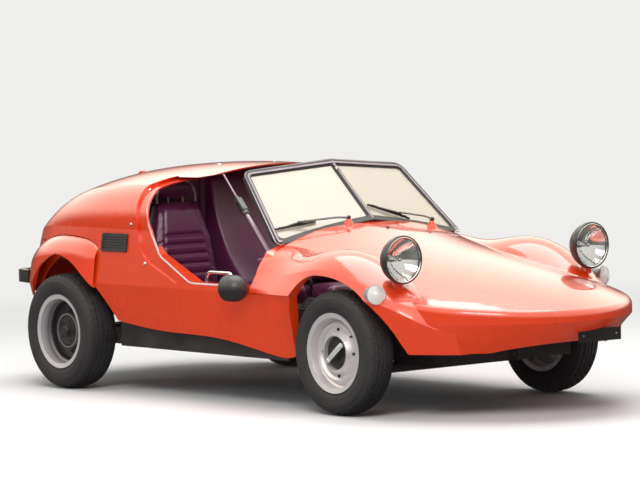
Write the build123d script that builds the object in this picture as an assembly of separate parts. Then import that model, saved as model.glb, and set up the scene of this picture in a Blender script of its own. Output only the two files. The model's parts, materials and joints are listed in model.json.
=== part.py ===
from build123d import *
import os
from functools import cache
from math import cos, radians, sin

# A two-seat beach car with its engine behind the seats. Millimetres. X runs to the car's left, Y to its
# rear, Z up from the ground. Every station below is measured rearwards from the front axle, and save()
# moves each piece so that the origin lies on the ground under the middle of the car.

# Driving sizes of the chassis
wheelbase = 2027
front_overhang = 950
rear_overhang = 593
front_track = 1274
rear_track = 1400
tyre_radius = 285
rim_radius = 182.5
front_tyre_width = 150
rear_tyre_width = 176

# Sizes of the body
wall = 6
nose_half_width = 640
nose_centre = -250
crease_height = 533
crease_half_width = 742
deck_line = 722
sill_inner = 664
sill_height = 568
cowl_end = 560
panel_start = 240
arch_back = 296
cabin_end = wheelbase - 367
fender_start = wheelbase - 264
tail_end = wheelbase + 529
canopy_end = wheelbase + 463
floor_height = 226
floor_thickness = 26
footwell_half_width = 372
recess_depth = 12
lip_depth = 20
lip_width = 7
tail_ridge = 1072

# Clearances
seat_gap = 0.3
turning_gap = 0.05
shut_gap = 2.5

front_axle = -(front_overhang + wheelbase + rear_overhang) / 2 + front_overhang


def save(name, shape):
    """Writes one piece in the car's frame."""
    export_step(Pos(0, front_axle, 0) * shape, f"parts/{name}.step")


# Helpers for sections across the car


def rib(points, y):
    """A line through two (x, z) points, or an arc through three, in the plane at station y."""
    corners = [Vector(x, y, z) for x, z in points]
    return Edge.make_line(*corners) if len(corners) == 2 else Edge.make_three_point_arc(*corners)


def ring(y, edges):
    """The closed wire of a section at station y."""
    return Wire([rib(points, y) for points in edges])


def crowned_ring(y, side, crown):
    """A section with the same edges up both sides, an arc over the crown and a flat bottom."""
    high = side[-1][-1]
    low = side[0][0]
    other_side = [tuple((-x, z) for x, z in reversed(edge)) for edge in reversed(side)]
    over = (high, (0, crown), (-high[0], high[1]))
    return ring(y, [*side, over, *other_side, ((-low[0], low[1]), low)])


def outline(points):
    """A face in the side plane X = 0 from (y, z) points, where a middle triple is an arc."""
    edges = []
    for edge in points:
        corners = [Vector(0, y, z) for y, z in edge]
        if len(corners) == 2:
            edges.append(Edge.make_line(*corners))
        else:
            edges.append(Edge.make_three_point_arc(*corners))
    return Face(Wire(edges))


def across(face, low_x, high_x):
    """A side outline extruded from one X to another."""
    return extrude(Pos(low_x, 0, 0) * face, high_x - low_x, dir=(1, 0, 0))


def block(x, y, z):
    """A box between the low and high values of x, y and z."""
    size = (x[1] - x[0], y[1] - y[0], z[1] - z[0])
    middle = ((x[0] + x[1]) / 2, (y[0] + y[1]) / 2, (z[0] + z[1]) / 2)
    return Pos(*middle) * Box(*size)


def flip(shape):
    """The same piece on the other side of the car."""
    return mirror(shape, about=Plane.YZ)


def pair(shape):
    """A piece and its mirror image in one node."""
    return Compound([shape, flip(shape)])


def tube(start, end, radius):
    """A round bar between two points."""
    start = Vector(*start)
    end = Vector(*end)
    run = end - start
    plane = Plane(origin=start, z_dir=run)
    return extrude(plane * Circle(radius), run.length)


def disc(x, station, height, radius, length):
    """A cylinder along X, centred on x."""
    return Pos(x, station, height) * Rot(0, 90, 0) * Cylinder(radius, length)


# Front body


# Columns: station, height of the bonnet on the centre line
BONNET = ((-1000, 452), (-610, 594), (-220, 682), (170, 752), (cowl_end, 838))
bonnet_drop = 152
bonnet_reach = 700
lip_height = 432
chin_height = 296
chin_half_width = 612
chin_length = 510
lip_round = 34

# Columns: station, inner z, crown x, crown z, shoulder x, shoulder z, side x, low x
FENDER = (
    (-620, 440, 450, 468, 508, 450, 520, 462),
    (-425, 500, 545, 550, 628, 515, 650, 600),
    (-230, 570, 592, 645, 690, 586, 722, 680),
    (-35, 640, 605, 728, 710, 652, 746, 706),
    (160, 660, 605, 730, 712, 652, 748, 708),
    (355, 680, 588, 712, 698, 624, 745, 706),
    (cowl_end, 700, 575, 731, 690, 618, 742, 706),
)
fender_inner = 400
fender_low = 200


@cache
def bonnet_solid(inset):
    """Everything under the crowned bonnet surface. A hollow or a clearance runs on past the cowl's end."""
    rings = []
    for station, crown in BONNET:
        y = station + (abs(inset) if station == cowl_end else 0)
        low = 100 - inset
        side = [((bonnet_reach, low), (bonnet_reach, crown - bonnet_drop - inset))]
        rings.append(crowned_ring(y, side, crown - inset))
    return Solid.make_loft(rings)


def nose_plan(height, half_width, length, back):
    """The plan of the nose at one height: half an ellipse with straight sides behind it."""
    centre = Plane(origin=(0, nose_centre, height))
    front = Edge.make_ellipse(half_width, length, centre, start_angle=180, end_angle=360)
    corners = [(half_width, nose_centre), (half_width, back), (-half_width, back), (-half_width, nose_centre)]
    corners = [Vector(x, y, height) for x, y in corners]
    sides = [Edge.make_line(start, end) for start, end in zip(corners, corners[1:])]
    return Wire([front, *sides])


@cache
def nose_solid(inset):
    """The wedge between the fenders. With an inset it is the hollow inside, open below and behind."""
    back = cowl_end + inset
    length = front_overhang + nose_centre - inset
    half = nose_half_width - inset
    chin = nose_plan(chin_height - inset, chin_half_width - inset, chin_length - inset, back)
    lip = nose_plan(lip_height, half, length, back)
    top = nose_plan(1000, half, length, back)
    form = Solid.make_loft([chin, lip], ruled=True) + Solid.make_loft([lip, top], ruled=True)
    form = form & bonnet_solid(inset)
    boxes = [(edge, edge.bounding_box()) for edge in form.edges()]
    rim = [edge for edge, box in boxes if box.min.Y < nose_centre - 1 and box.min.Z > lip_height + 1]
    return fillet(rim, lip_round - inset)


@cache
def fender_solid(inset):
    """The left front fender's hump over its wheel. With an inset it is the hollow inside."""
    rings = []
    for station, z_in, x_top, z_top, x_sh, z_sh, x_side, x_low in FENDER:
        y = station
        if station == FENDER[0][0]:
            y = station + 2 * inset
        if station == cowl_end:
            y = station + abs(inset)
        low = fender_low - inset
        crease = min(crease_height, z_sh - 40)
        inner = (fender_inner, z_in - inset)
        shoulder = (x_sh - inset, z_sh - inset / 2)
        widest = (x_side - inset, crease)
        foot = (x_low - inset, low)
        heel = (fender_inner, low)
        crown = (x_top - inset / 2, z_top - inset)
        edges = [(heel, inner), (inner, crown, shoulder), (shoulder, widest), (widest, foot), (foot, heel)]
        rings.append(ring(y, edges))
    return Solid.make_loft(rings)


FRONT_ARCH = (
    ((arch_back, 150), (286, 439)),
    ((286, 439), (232, 570), (70, 634)),
    ((70, 634), (-190, 566), (-372, 392)),
    ((-372, 392), (-500, 150)),
    ((-500, 150), (arch_back, 150)),
)


def arch_lip(form, arch, flank):
    """The flange turned inwards round a left arch, as deep as the lip from the flank's (x, y) line."""
    band = across(offset(arch, lip_width, kind=Kind.INTERSECTION) - arch, 500, 900)
    inner = [(x - lip_depth, y) for x, y in flank]
    outside = make_face(Polyline(*inner, (900, inner[-1][1]), (900, inner[0][1]), close=True))
    return form & (band & extrude(Plane.XY * outside, 1000))


# Columns: x and station of the two raised bosses that carry the wiper spindles
WIPER_BOSSES = ((-150, 528), (352, 506))


def bonnet_height(x, station):
    """The height of the bonnet's surface behind its last but one section."""
    (start, low), (end, high) = BONNET[-2:]
    crown = low + (high - low) * (station - start) / (end - start)
    return crown - bonnet_drop * (x / bonnet_reach) ** 2


def wiper_boss(x, station, gap=0):
    """A tapered boss with a rounded top, standing on the cowl. With a gap it is the room for it."""
    height = bonnet_height(x, station)
    return Pos(x, station, height) * (Cone(34 + gap, 17 + gap, 36) + Pos(0, 0, 12) * Sphere(18 + gap))


def lamp_boss():
    """The short stalk on the left fender that carries its headlamp."""
    x, y, z = lamp_centre
    stalk = tube((x, y + 34, 520), (x, y + 34, z - 60), 24)
    return stalk - Pos(x, y, z) * cap_solid(lamp_radius + seat_gap, lamp_depth + seat_gap)


def front_body():
    """One moulding: bonnet, nose, both fenders and the cowl, open below and towards the cabin."""
    outer = nose_solid(0) + fender_solid(0) + flip(fender_solid(0))
    hollow = nose_solid(wall) + fender_solid(wall) + flip(fender_solid(wall))
    bosses = [lamp_boss(), flip(lamp_boss()), *(wiper_boss(x, y) for x, y in WIPER_BOSSES)]
    body = outer + bosses - hollow
    face = outline(FRONT_ARCH)
    lip = arch_lip(fender_solid(0), face, [(row[7], row[0]) for row in FENDER])
    arch = across(face, 380, 900)
    side = block((560, 900), (200, cowl_end + 50), (100, crease_height + shut_gap))
    under = block((-900, 900), (-1000, cowl_end + 50), (0, chin_height))
    return body + lip + flip(lip) - arch - flip(arch) - side - flip(side) - under


# Upper body: the sides behind the doors, the roof and the tail


# Columns: station, low x, low z, crease x, upper x, upper z, shoulder x, shoulder z, ridge z
UPPER = (
    (panel_start, 706, 292, crease_half_width, 706, 800, 600, 985, 1060),
    (740, 706, 300, crease_half_width, 706, 800, 604, 1000, 1080),
    (wheelbase - 847, 706, 318, crease_half_width, 706, 800, 604, 1010, 1095),
    (wheelbase - 427, 704, 350, 741, 703, 800, 598, 1010, 1099),
    (wheelbase - 67, 696, 385, 734, 688, 800, 570, 985, tail_ridge),
    (wheelbase + 193, 668, 390, 704, 646, 796, 518, 928, 1012),
    (wheelbase + 353, 630, 390, 660, 596, 782, 466, 850, 922),
    (canopy_end, 570, 390, 600, 530, 745, 400, 768, 800),
)


@cache
def upper_solid(inset):
    """The body's sides and roof as one closed form. With an inset it is the hollow inside."""
    rings = []
    for station, x_low, z_low, x_crease, x_up, z_up, x_sh, z_sh, ridge in UPPER:
        bulge_x = (x_up + x_sh) / 2 + (z_sh - z_up) * 0.17
        bulge_z = (z_up + z_sh) / 2 + (x_up - x_sh) * 0.13
        side = [
            ((x_low - inset, z_low), (x_crease - inset, crease_height)),
            ((x_crease - inset, crease_height), (x_up - inset, z_up)),
            ((x_up - inset, z_up), (bulge_x - inset, bulge_z), (x_sh - inset, z_sh - inset)),
        ]
        y = station
        if inset and station == panel_start:
            y = station - inset
        if inset and station == canopy_end:
            y = station - 2 * inset
        rings.append(crowned_ring(y, side, ridge - inset))
    return Solid.make_loft(rings)


opening_back = wheelbase - 615

# The side opening and the roof's front edge, seen from the side
OPENING = (
    ((100, sill_height), (1000, sill_height)),
    ((1000, sill_height), (opening_back - 144, 686)),
    ((opening_back - 144, 686), (opening_back - 62, 785), (opening_back - 27, 880)),
    ((opening_back - 27, 880), (opening_back, 985)),
    ((opening_back, 985), (opening_back - 12, 1012), (opening_back - 42, 1024)),
    ((opening_back - 42, 1024), (opening_back - 200, 1056)),
    ((opening_back - 200, 1056), (opening_back - 222, 1300)),
    ((opening_back - 222, 1300), (100, 1300)),
    ((100, 1300), (100, sill_height)),
)

# The outer edge of the step round the side opening
RECESS = (
    ((740, sill_height - 12), (opening_back - 297, sill_height - 12)),
    ((opening_back - 297, sill_height - 12), (opening_back - 77, 640)),
    ((opening_back - 77, 640), (opening_back + 10, 715), (opening_back + 40, 822)),
    ((opening_back + 40, 822), (opening_back + 70, 985)),
    ((opening_back + 70, 985), (opening_back + 52, 1034), (opening_back - 7, 1046)),
    ((opening_back - 7, 1046), (opening_back - 182, 1046)),
    ((opening_back - 182, 1046), (opening_back - 182, 700)),
    ((opening_back - 182, 700), (740, 700)),
    ((740, 700), (740, sill_height - 12)),
)


@cache
def stepped_form(inset):
    """The sides and roof with the shallow step round each side opening, or the hollow inside."""
    face = outline(RECESS)
    if inset:
        face = offset(face, inset, kind=Kind.INTERSECTION)
    step = across(face, 400, 900) - upper_solid(recess_depth + inset)
    return upper_solid(inset) - step - flip(step)


@cache
def side_panel():
    """The left side below the deck line, from the front wheel to the rear fender: a closed wall."""
    form = stepped_form(0) & block((sill_inner, 900), (panel_start, fender_start), (200, deck_line))
    form = form - across(outline(OPENING), 500, 900)
    well = block((500, 900), (200, arch_back + 54), (200, deck_line)) & upper_solid(recess_depth)
    behind_cowl = block((500, 900), (200, cowl_end + seat_gap), (crease_height, deck_line))
    arches = across(outline(FRONT_ARCH), 500, 900) + across(rear_arch_face(), 500, 900)
    return form - well - behind_cowl - arches


tail_face = wheelbase + 373
lid_start = wheelbase + 48
lid_half_width = 372
lid_gap = 6
lid_end = wheelbase + 393


def lid_zone(gap):
    """The upright prism that holds the engine lid's outline."""
    zone = block((-lid_half_width - gap, lid_half_width + gap), (lid_start - gap, lid_end + gap), (700, 1200))
    return fillet(zone.edges().filter_by(Axis.Z), 40 + gap)


hinge_height = tail_ridge - 24
hinge_station = lid_start - 3
hinge_centre = 200
hinge_pin_radius = 3
hinge_barrel_radius = 7


def hinge_piece(low, high, start, end):
    """A leaf on the skin with its barrel round the hinge line, from one X to another, on both sides."""
    leaf = block((low, high), (start, end), (hinge_height - 14, hinge_height - 2))
    middle = (low + high) / 2
    barrel = disc(middle, hinge_station, hinge_height, hinge_barrel_radius, high - low)
    return leaf + barrel


def canopy_hinges():
    """The outer barrels with their pin, on the canopy."""
    low = hinge_centre - 15
    high = hinge_centre + 15
    front = (hinge_station - 34, hinge_station)
    inner = hinge_piece(low, low + 8, *front) + hinge_piece(high - 8, high, *front)
    return inner + disc(hinge_centre, hinge_station, hinge_height, hinge_pin_radius, high - low)


def hinge_room(half_length):
    """The cylinder that a skin leaves free round both hinges' barrels."""
    room = disc(hinge_centre, hinge_station, hinge_height, hinge_barrel_radius + 1, 2 * half_length)
    return room + flip(room)


def lid_hinges():
    """The middle barrel with its bore, on the lid."""
    middle = hinge_piece(hinge_centre - 6, hinge_centre + 6, hinge_station, hinge_station + 34)
    return middle - disc(hinge_centre, hinge_station, hinge_height, hinge_pin_radius + turning_gap, 40)


def canopy():
    """Roof, quarters and fastback above the deck line: one moulding with the engine lid's opening."""
    shell = stepped_form(0) - stepped_form(wall)
    above = block((-900, 900), (opening_back - 262, tail_face), (deck_line, 1300))
    behind = block((-900, 900), (tail_face, 2 * wheelbase), (580, 1300))
    shell = shell & (above + behind)
    shell = shell - across(outline(OPENING), -900, 900)
    shell = shell - lid_zone(lid_gap) - rear_solid(-shut_gap) - hinge_room(7)
    return shell + canopy_hinges() + flip(canopy_hinges())


def engine_lid():
    """The lid over the engine, the piece of the fastback that its outline cuts, with cooling slots."""
    lid = (upper_solid(0) - upper_solid(wall)) & lid_zone(0)
    slots = [Pos(0, lid_start + 90 + row * 36, 950) * Box(420, 14, 500) for row in range(6)]
    return lid - slots - hinge_room(16) + lid_hinges() + flip(lid_hinges())


# Columns: station, low x, low z, widest x, widest z, shoulder x, shoulder z, top x, top z
REAR_FENDER = (
    (fender_start - 30, 690, 300, 728, 520, 712, 640, 640, 690),
    (wheelbase - 205, 744, 320, 776, 533, 764, 650, 640, 736),
    (wheelbase - 27, 756, 350, 788, 540, 772, 664, 640, 750),
    (wheelbase + 173, 744, 380, 778, 530, 760, 650, 600, 738),
    (wheelbase + 323, 690, 396, 722, 520, 704, 618, 540, 694),
    (wheelbase + 443, 590, 405, 622, 510, 606, 588, 430, 640),
    (tail_end, 440, 420, 470, 500, 460, 552, 300, 588),
)


@cache
def rear_solid(inset):
    """The lower tail with both rear fenders as one closed form, or the hollow inside."""
    rings = []
    for station, x_low, z_low, x_wide, z_wide, x_sh, z_sh, x_top, z_top in REAR_FENDER:
        arc_x = (x_sh + x_top) / 2 + (z_top - z_sh) * 0.38
        arc_z = (z_sh + z_top) / 2 + (x_sh - x_top) * 0.16
        side = [
            ((x_low - inset, z_low - 10 * inset), (x_wide - inset, z_wide)),
            ((x_wide - inset, z_wide), (x_sh - inset, z_sh)),
            ((x_sh - inset, z_sh), (arc_x - inset, arc_z - inset), (x_top, z_top - inset)),
        ]
        y = station
        if station == REAR_FENDER[0][0]:
            y = station - inset
        if station == tail_end:
            y = station - inset
        rings.append(crowned_ring(y, side, z_top - inset + 4))
    return Solid.make_loft(rings)


# The rear wheel arch, with y measured from the rear axle
REAR_ARCH = (
    ((-487, 150), (-428, 313)),
    ((-428, 313), (-318, 454), (-174, 590)),
    ((-174, 590), (-80, 645), (26, 667)),
    ((26, 667), (150, 612), (249, 514)),
    ((249, 514), (325, 396)),
    ((325, 396), (325, 150)),
    ((325, 150), (-487, 150)),
)


def rear_arch_face():
    """The rear arch's outline at its place."""
    return Pos(0, wheelbase, 0) * outline(REAR_ARCH)


def rear_body():
    """The tail below the deck line with the rear fenders, open below, ahead and under the canopy."""
    shell = rear_solid(0) - rear_solid(wall)
    zone = block((-900, 900), (fender_start + seat_gap, 2 * wheelbase), (250, 900))
    inside = block((-900, 900), (fender_start - 60, tail_face), (250, 900))
    shell = (shell & zone) - (upper_solid(0) & inside)
    side = upper_solid(0) - upper_solid(wall)
    side = side & block((-900, 900), (fender_start + seat_gap, tail_face), (500, deck_line - shut_gap))
    side = side - block((-sill_inner + 60, sill_inner - 60), (fender_start, 2 * wheelbase), (0, 900))
    face = rear_arch_face()
    lip = arch_lip(rear_solid(0), face, [(row[3], row[0]) for row in REAR_FENDER]) & zone
    arch = across(face, 500, 900)
    return shell + side + lip + flip(lip) - arch - flip(arch)


# Windscreen


screen_foot = Vector(0, 526, 829)
screen_peak = Vector(0, 839, 1112)
screen_low_corner = Vector(578, 543, 731)
screen_high_corner = Vector(490, 905, 1072)
frame_width = 30
centre_bar = 18
frame_depth = 26
glass_thickness = 6
foot_bulge = 14


def pane_outline(plane, margin):
    """The left half's outline on its own plane, drawn in by a margin on every side but the middle."""
    low = plane.to_local_coords(screen_low_corner)
    high = plane.to_local_coords(screen_high_corner)
    peak = plane.to_local_coords(screen_peak)
    over = frame_width - centre_bar / 2
    foot = Vector(-over, 0, 0)
    peak = Vector(peak.X - over, peak.Y, 0)
    low = Vector(low.X, low.Y, 0)
    high = Vector(high.X, high.Y, 0)
    middle = (foot + low) / 2 + Vector(0, foot_bulge, 0)
    base = Edge.make_three_point_arc(foot, middle, low)
    sides = [Edge.make_line(low, high), Edge.make_line(high, peak), Edge.make_line(peak, foot)]
    face = Face(Wire([base, *sides]))
    corners = [v for v in face.vertices() if v.X > 100]
    face = fillet(corners, 55)
    return offset(face, -margin, kind=Kind.ARC) if margin else face


def screen_plane():
    """The plane of the left pane, its origin at the foot of the centre bar."""
    along = screen_low_corner - screen_foot
    up = screen_peak - screen_foot
    return Plane(origin=screen_foot, x_dir=along, z_dir=along.cross(up))


def windscreen_frame():
    """Rubber and metal frame of both panes with its centre bar, seated on the cowl."""
    plane = screen_plane()
    outer = extrude(plane * pane_outline(plane, 0), frame_depth / 2, both=True)
    inner = extrude(plane * pane_outline(plane, frame_width), frame_depth, both=True)
    half = (outer - inner) & block((0, 900), (300, 1200), (500, 1300))
    cowl = bonnet_solid(-seat_gap) + fender_solid(-seat_gap) + flip(fender_solid(-seat_gap))
    bosses = [wiper_boss(x, y, seat_gap) for x, y in WIPER_BOSSES]
    return half + flip(half) - cowl - bosses


def windscreen_glass():
    """The two flat panes."""
    plane = screen_plane()
    pane = pane_outline(plane, frame_width + seat_gap)
    return pair(extrude(plane * pane, glass_thickness / 2, both=True))


def roof_stays():
    """A telescopic stay on each side, from the roof's front edge down to the cowl."""
    top = Vector(350, opening_back - 172, 1075)
    foot = Vector(562, 600, 690)
    joint = top + (foot - top) * 0.42
    stay = tube(top, joint, 5) + tube(joint, foot, 11)
    return pair((stay & upper_solid(wall + seat_gap)) - dashboard_solid(-seat_gap))


# Lamps, mirrors, grilles and plates


lamp_radius = 108
lamp_depth = 96
lamp_wall = 5
lens_dome = 16
lamp_centre = (580, -351, 712)


def cap_solid(radius, depth):
    """A spherical cap that bulges towards +Y from a rim of the given radius in the plane Y = 0."""
    ball = (radius**2 + depth**2) / (2 * depth)
    ahead = block((-ball - 1, ball + 1), (0, 2 * ball), (-ball - 1, ball + 1))
    return Pos(0, depth - ball, 0) * Rot(90, 0, 0) * Sphere(ball) & ahead


def headlamps():
    """Free-standing lamp shells, one on the stalk of each fender."""
    inner = cap_solid(lamp_radius - lamp_wall, lamp_depth - lamp_wall)
    return pair(Pos(*lamp_centre) * (cap_solid(lamp_radius, lamp_depth) - inner))


def headlamp_lenses():
    """Domed glass lenses held in the lamp shells' rims."""
    x, y, z = lamp_centre
    radius = lamp_radius - lamp_wall - seat_gap
    rim_depth = 6
    dome = Rot(0, 0, 180) * cap_solid(radius, lens_dome)
    behind = block((-radius, radius), (0, rim_depth), (-radius, radius))
    back = cap_solid(radius, lamp_depth - lamp_wall - seat_gap) & behind
    return pair(Pos(x, y, z) * (dome + back))


def turn_signals():
    """Round signals facing forwards on the flanks of the front fenders."""
    facing = Vector(0.3, -0.95, 0.05).normalized()
    front = Vector(702, -306, 558)
    base = tube(front - facing * 90, front - facing * 14, 34)
    lens = Plane(origin=front - facing * 14, z_dir=facing) * Rot(90, 0, 0) * cap_solid(43, 17)
    signal = base + lens
    return pair(signal - fender_solid(-seat_gap) - nose_solid(-seat_gap))


def mirrors():
    """Bullet mirrors on short arms beside the cowl, their glass facing rearwards."""
    radius = 62
    barrel = 46
    lip = 5
    centre = Vector(804, 622, 560)
    bend = Vector(radius * sin(radians(45)), -barrel - radius * cos(radians(45)), 0)
    nose = Edge.make_three_point_arc((0, -barrel - radius, 0), bend, (radius, -barrel, 0))
    corners = [(radius, -barrel), (radius, 0), (radius - lip, 0), (radius - lip, -lip), (0, -lip)]
    corners = [*corners, (0, -barrel - radius)]
    sides = [Edge.make_line(start, end) for start, end in zip(corners, corners[1:])]
    shell = Pos(*centre) * revolve(Face(Wire([nose, *sides])), Axis.Y)
    arm = tube(centre - Vector(0, 34, 0), (crease_half_width - 30, centre.Y - 34, 548), 11)
    return pair((shell + arm) - upper_solid(-seat_gap))


vent_start = wheelbase - 505
vent_length = 205
vent_low = 690
vent_high = 778
vent_rise = 9
vent_groove = 5


def side_vents():
    """Flat black air inlets with slats, lying on the quarters behind the openings."""
    skin = upper_solid(-seat_gap)
    window = block((500, 900), (vent_start, vent_start + vent_length), (vent_low, vent_high))
    window = fillet(window.edges().filter_by(Axis.X), 9)
    plate = Pos(vent_rise, 0, 0) * skin & window
    slot_ends = (vent_start + 14, vent_start + vent_length - 14)
    for row in range(5):
        low = vent_low + 14 + row * 13
        slot = block((500, 900), slot_ends, (low, low + 6))
        plate = plate - (slot - Pos(vent_rise - vent_groove, 0, 0) * skin)
    return pair(plate - skin)


bumper_height = 64
bumper_thickness = 30
bumper_low = 501


def rear_bumper():
    """A U-shaped bar round the tail with two brackets."""
    rear = wheelbase + rear_overhang
    ends = [(668, rear - 180), (640, rear - 60), (560, rear)]
    path = [*ends, *((-x, y) for x, y in reversed(ends))]
    outer = make_face(Polyline(*path, (0, rear - 700), close=True))
    inner = offset(outer, -bumper_thickness, kind=Kind.INTERSECTION)
    bar = Pos(0, 0, bumper_low) * extrude(Plane.XY * (outer - inner), bumper_height)
    bar = bar & block((-900, 900), (rear - 180, rear), (400, 700))
    for x in (-300, 300):
        bar = bar + block((x - 20, x + 20), (tail_end + seat_gap, rear - 10), (bumper_low + 12, bumper_low + 44))
    return bar - rear_solid(-seat_gap)


def tail_lamps():
    """Two round lamps on the tail's upright face."""
    lamp = tube((430, canopy_end + seat_gap, 690), (430, canopy_end + 26, 690), 42)
    return pair(lamp)


plate_width = 262
plate_height = 57


def number_plates():
    """Blank plates: a small one hung under the nose and a larger one on the tail."""
    x = 125
    y = -868
    front = block((x - plate_width / 2, x + plate_width / 2), (y - 3, y), (326, 326 + plate_height))
    for side in (-70, 70):
        front = front + block((x + side - 8, x + side + 8), (y, y + 90), (352, 372))
    front = front - nose_solid(-seat_gap)
    rear = block((-150, 150), (canopy_end + seat_gap, canopy_end + 5), (640, 745))
    return Compound([front.solids().sort_by(Axis.Y)[0], rear])


# Chassis and cabin


sill_rail_top = 420
sill_rail_width = 55
tunnel_half_width = 95
tunnel_top = 400
tunnel_wall = 8
plate_thickness = 10
toe_board = -420
tub_back = 365
tub_top = 520
floor_top = floor_height + floor_thickness
rail_inner = 305
rail_outer = 355
rail_top = tyre_radius - 23
rail_height = 50
rail_end = wheelbase + 413
tow_eye_radius = 15
tow_eye_length = 50


def floor_pan():
    """Floor plates beside the tunnel, and the footwell's plates between the front wheels."""
    low = floor_height
    side = sill_inner - sill_rail_width - 2 * seat_gap
    half = footwell_half_width
    plate = block((tunnel_half_width + seat_gap, side), (tub_back + seat_gap, cabin_end), (low, floor_top))
    tunnel = block((-tunnel_half_width, tunnel_half_width), (tub_back + seat_gap, cabin_end), (low, tunnel_top))
    inside = tunnel_half_width - tunnel_wall
    hollow = block((-inside, inside), (0, cabin_end + 8), (low - 8, tunnel_top - tunnel_wall))
    tub = block((-half, half), (toe_board, tub_back), (low, floor_top))
    tub_side = (toe_board, tub_back)
    tub_wall = block((half - plate_thickness, half), tub_side, (floor_top + seat_gap, tub_top))
    across_tub = half - plate_thickness - seat_gap
    toe_ends = (toe_board, toe_board + plate_thickness)
    toe = block((-across_tub, across_tub), toe_ends, (floor_top + seat_gap, tub_top))
    return Compound([plate, flip(plate), tunnel - hollow, tub, tub_wall, flip(tub_wall), toe])


def tow_eye(station, height):
    """An upright lug with a hole across the car, centred on the hole."""
    lug = block((-6, 6), (station - tow_eye_length / 2, station + tow_eye_length / 2), (height - 25, height + 25))
    return lug - disc(0, station, height, tow_eye_radius, 30)


def chassis_rails():
    """Sill rails, the heel board across the floor's end, the engine's rails and the towing eyes."""
    rail_x = (sill_inner - sill_rail_width - seat_gap, sill_inner - seat_gap)
    sill = block(rail_x, (tub_back + seat_gap, cabin_end), (floor_height, sill_rail_top))
    rail_low = rail_top - rail_height
    heel_y = (cabin_end + seat_gap, cabin_end + plate_thickness)
    heel = block((-rail_outer - 60, rail_outer + 60), heel_y, (rail_low, sill_rail_top))
    rail = block((rail_inner, rail_outer), (heel_y[1] + seat_gap, rail_end), (rail_low, rail_top))
    cross_y = (rail_end + seat_gap, rail_end + 40)
    cross = block((-rail_outer, rail_outer), cross_y, (rail_low, rail_top))
    front_eye = tow_eye(toe_board - seat_gap - tow_eye_length / 2, floor_height + 25)
    rear_eye = tow_eye(cross_y[1] + seat_gap + tow_eye_length / 2, rail_low + 25)
    return Compound([sill, flip(sill), heel, rail, flip(rail), cross, front_eye, rear_eye])


console_half_width = 175


def console():
    """The padded hump between the seats, rising from the floor to the roof behind them."""
    back = cabin_end - 30
    low = floor_top + seat_gap
    profile = (
        ((back, low), (back - 390, low)),
        ((back - 390, low), (back - 390, 440)),
        ((back - 390, 440), (back - 376, 490), (back - 330, 520)),
        ((back - 330, 520), (back - 168, 720), (back - 70, 1036)),
        ((back - 70, 1036), (back, 1036)),
        ((back, 1036), (back, low)),
    )
    return across(outline(profile), -console_half_width, console_half_width)


def bulkhead():
    """The padded wall behind the seats with its console, from the floor to the roof."""
    ends = (cabin_end - 56, cabin_end - 8)
    space = block((-sill_inner + 1, sill_inner - 1), ends, (floor_top + seat_gap, 1200))
    side = sill_inner - sill_rail_width - 2
    foot = block((-side, side), ends, (floor_top + seat_gap, 400))
    core = (upper_solid(wall + 1) & space) + console() + foot
    notch = block((-tunnel_half_width - 1, tunnel_half_width + 1), (1000, cabin_end), (200, tunnel_top + 1))
    rails = block((sill_inner - sill_rail_width - 1, 700), (1000, cabin_end), (200, sill_rail_top + 1))
    return core - notch - rails - flip(rails)


@cache
def dashboard_solid(inset):
    """The padded shelf and facia under the windscreen."""
    side = [((592 - inset, 640 + inset), (592 - inset, 684 - inset))]
    back = [((588 - inset, 656 + inset), (588 - inset, 676 - inset))]
    rings = [
        crowned_ring(cowl_end + seat_gap + inset, side, 796 - inset),
        crowned_ring(690 - inset, back, 772 - inset),
    ]
    return Solid.make_loft(rings)


seat_centre = 400
seat_half_width = 205
seat_base = floor_top + seat_gap


def seat(side):
    """A high-backed seat with its headrest, as one soft solid."""
    back = cabin_end - 60
    profile = (
        ((back - 510, seat_base), (back - 515, 440)),
        ((back - 515, 440), (back - 490, 490), (back - 430, 496)),
        ((back - 430, 496), (back - 150, 462)),
        ((back - 150, 462), (back - 82, 900)),
        ((back - 82, 900), (back - 68, 922), (back - 40, 926)),
        ((back - 40, 926), (back, 890)),
        ((back, 890), (back - 10, seat_base)),
        ((back - 10, seat_base), (back - 510, seat_base)),
    )
    x = side * seat_centre
    body = across(outline(profile), x - seat_half_width, x + seat_half_width)
    uprights = [edge for edge in body.edges() if edge.center().Z > 500]
    uprights = [edge for edge in uprights if abs(abs(edge.center().X - x) - seat_half_width) < 1]
    body = fillet(uprights, 18)
    rest = Pos(x, back - 38, 975) * extrude(Plane.XZ * SlotOverall(250, 92), 34, both=True)
    neck = block((x - 60, x + 60), (back - 55, back - 20), (915, 940))
    return body + rest + neck


wheel_centre = Vector(330, 930, 700)
column_rake = 24
steering_radius = 182
spindle_radius = 11


def steering_plane():
    """The plane of the steering wheel, its Z axis along the column towards the driver."""
    rake = radians(column_rake)
    return Plane(origin=wheel_centre, x_dir=(1, 0, 0), z_dir=(0, cos(rake), sin(rake)))


def steering_wheel():
    """Rim, three flat spokes and a hub that turns on the column's spindle."""
    rim = Torus(steering_radius, 12)
    hub = Pos(0, 0, -16) * Cylinder(26, 32)
    parts = rim + hub
    for angle in (0, 180, 90):
        spoke = Rot(0, 0, angle) * Pos(steering_radius / 2, 0, -6) * Box(steering_radius - 10, 26, 5)
        parts = parts + spoke
    parts = parts - Pos(0, 0, -16) * Cylinder(spindle_radius + turning_gap, 34)
    return steering_plane() * parts


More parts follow.
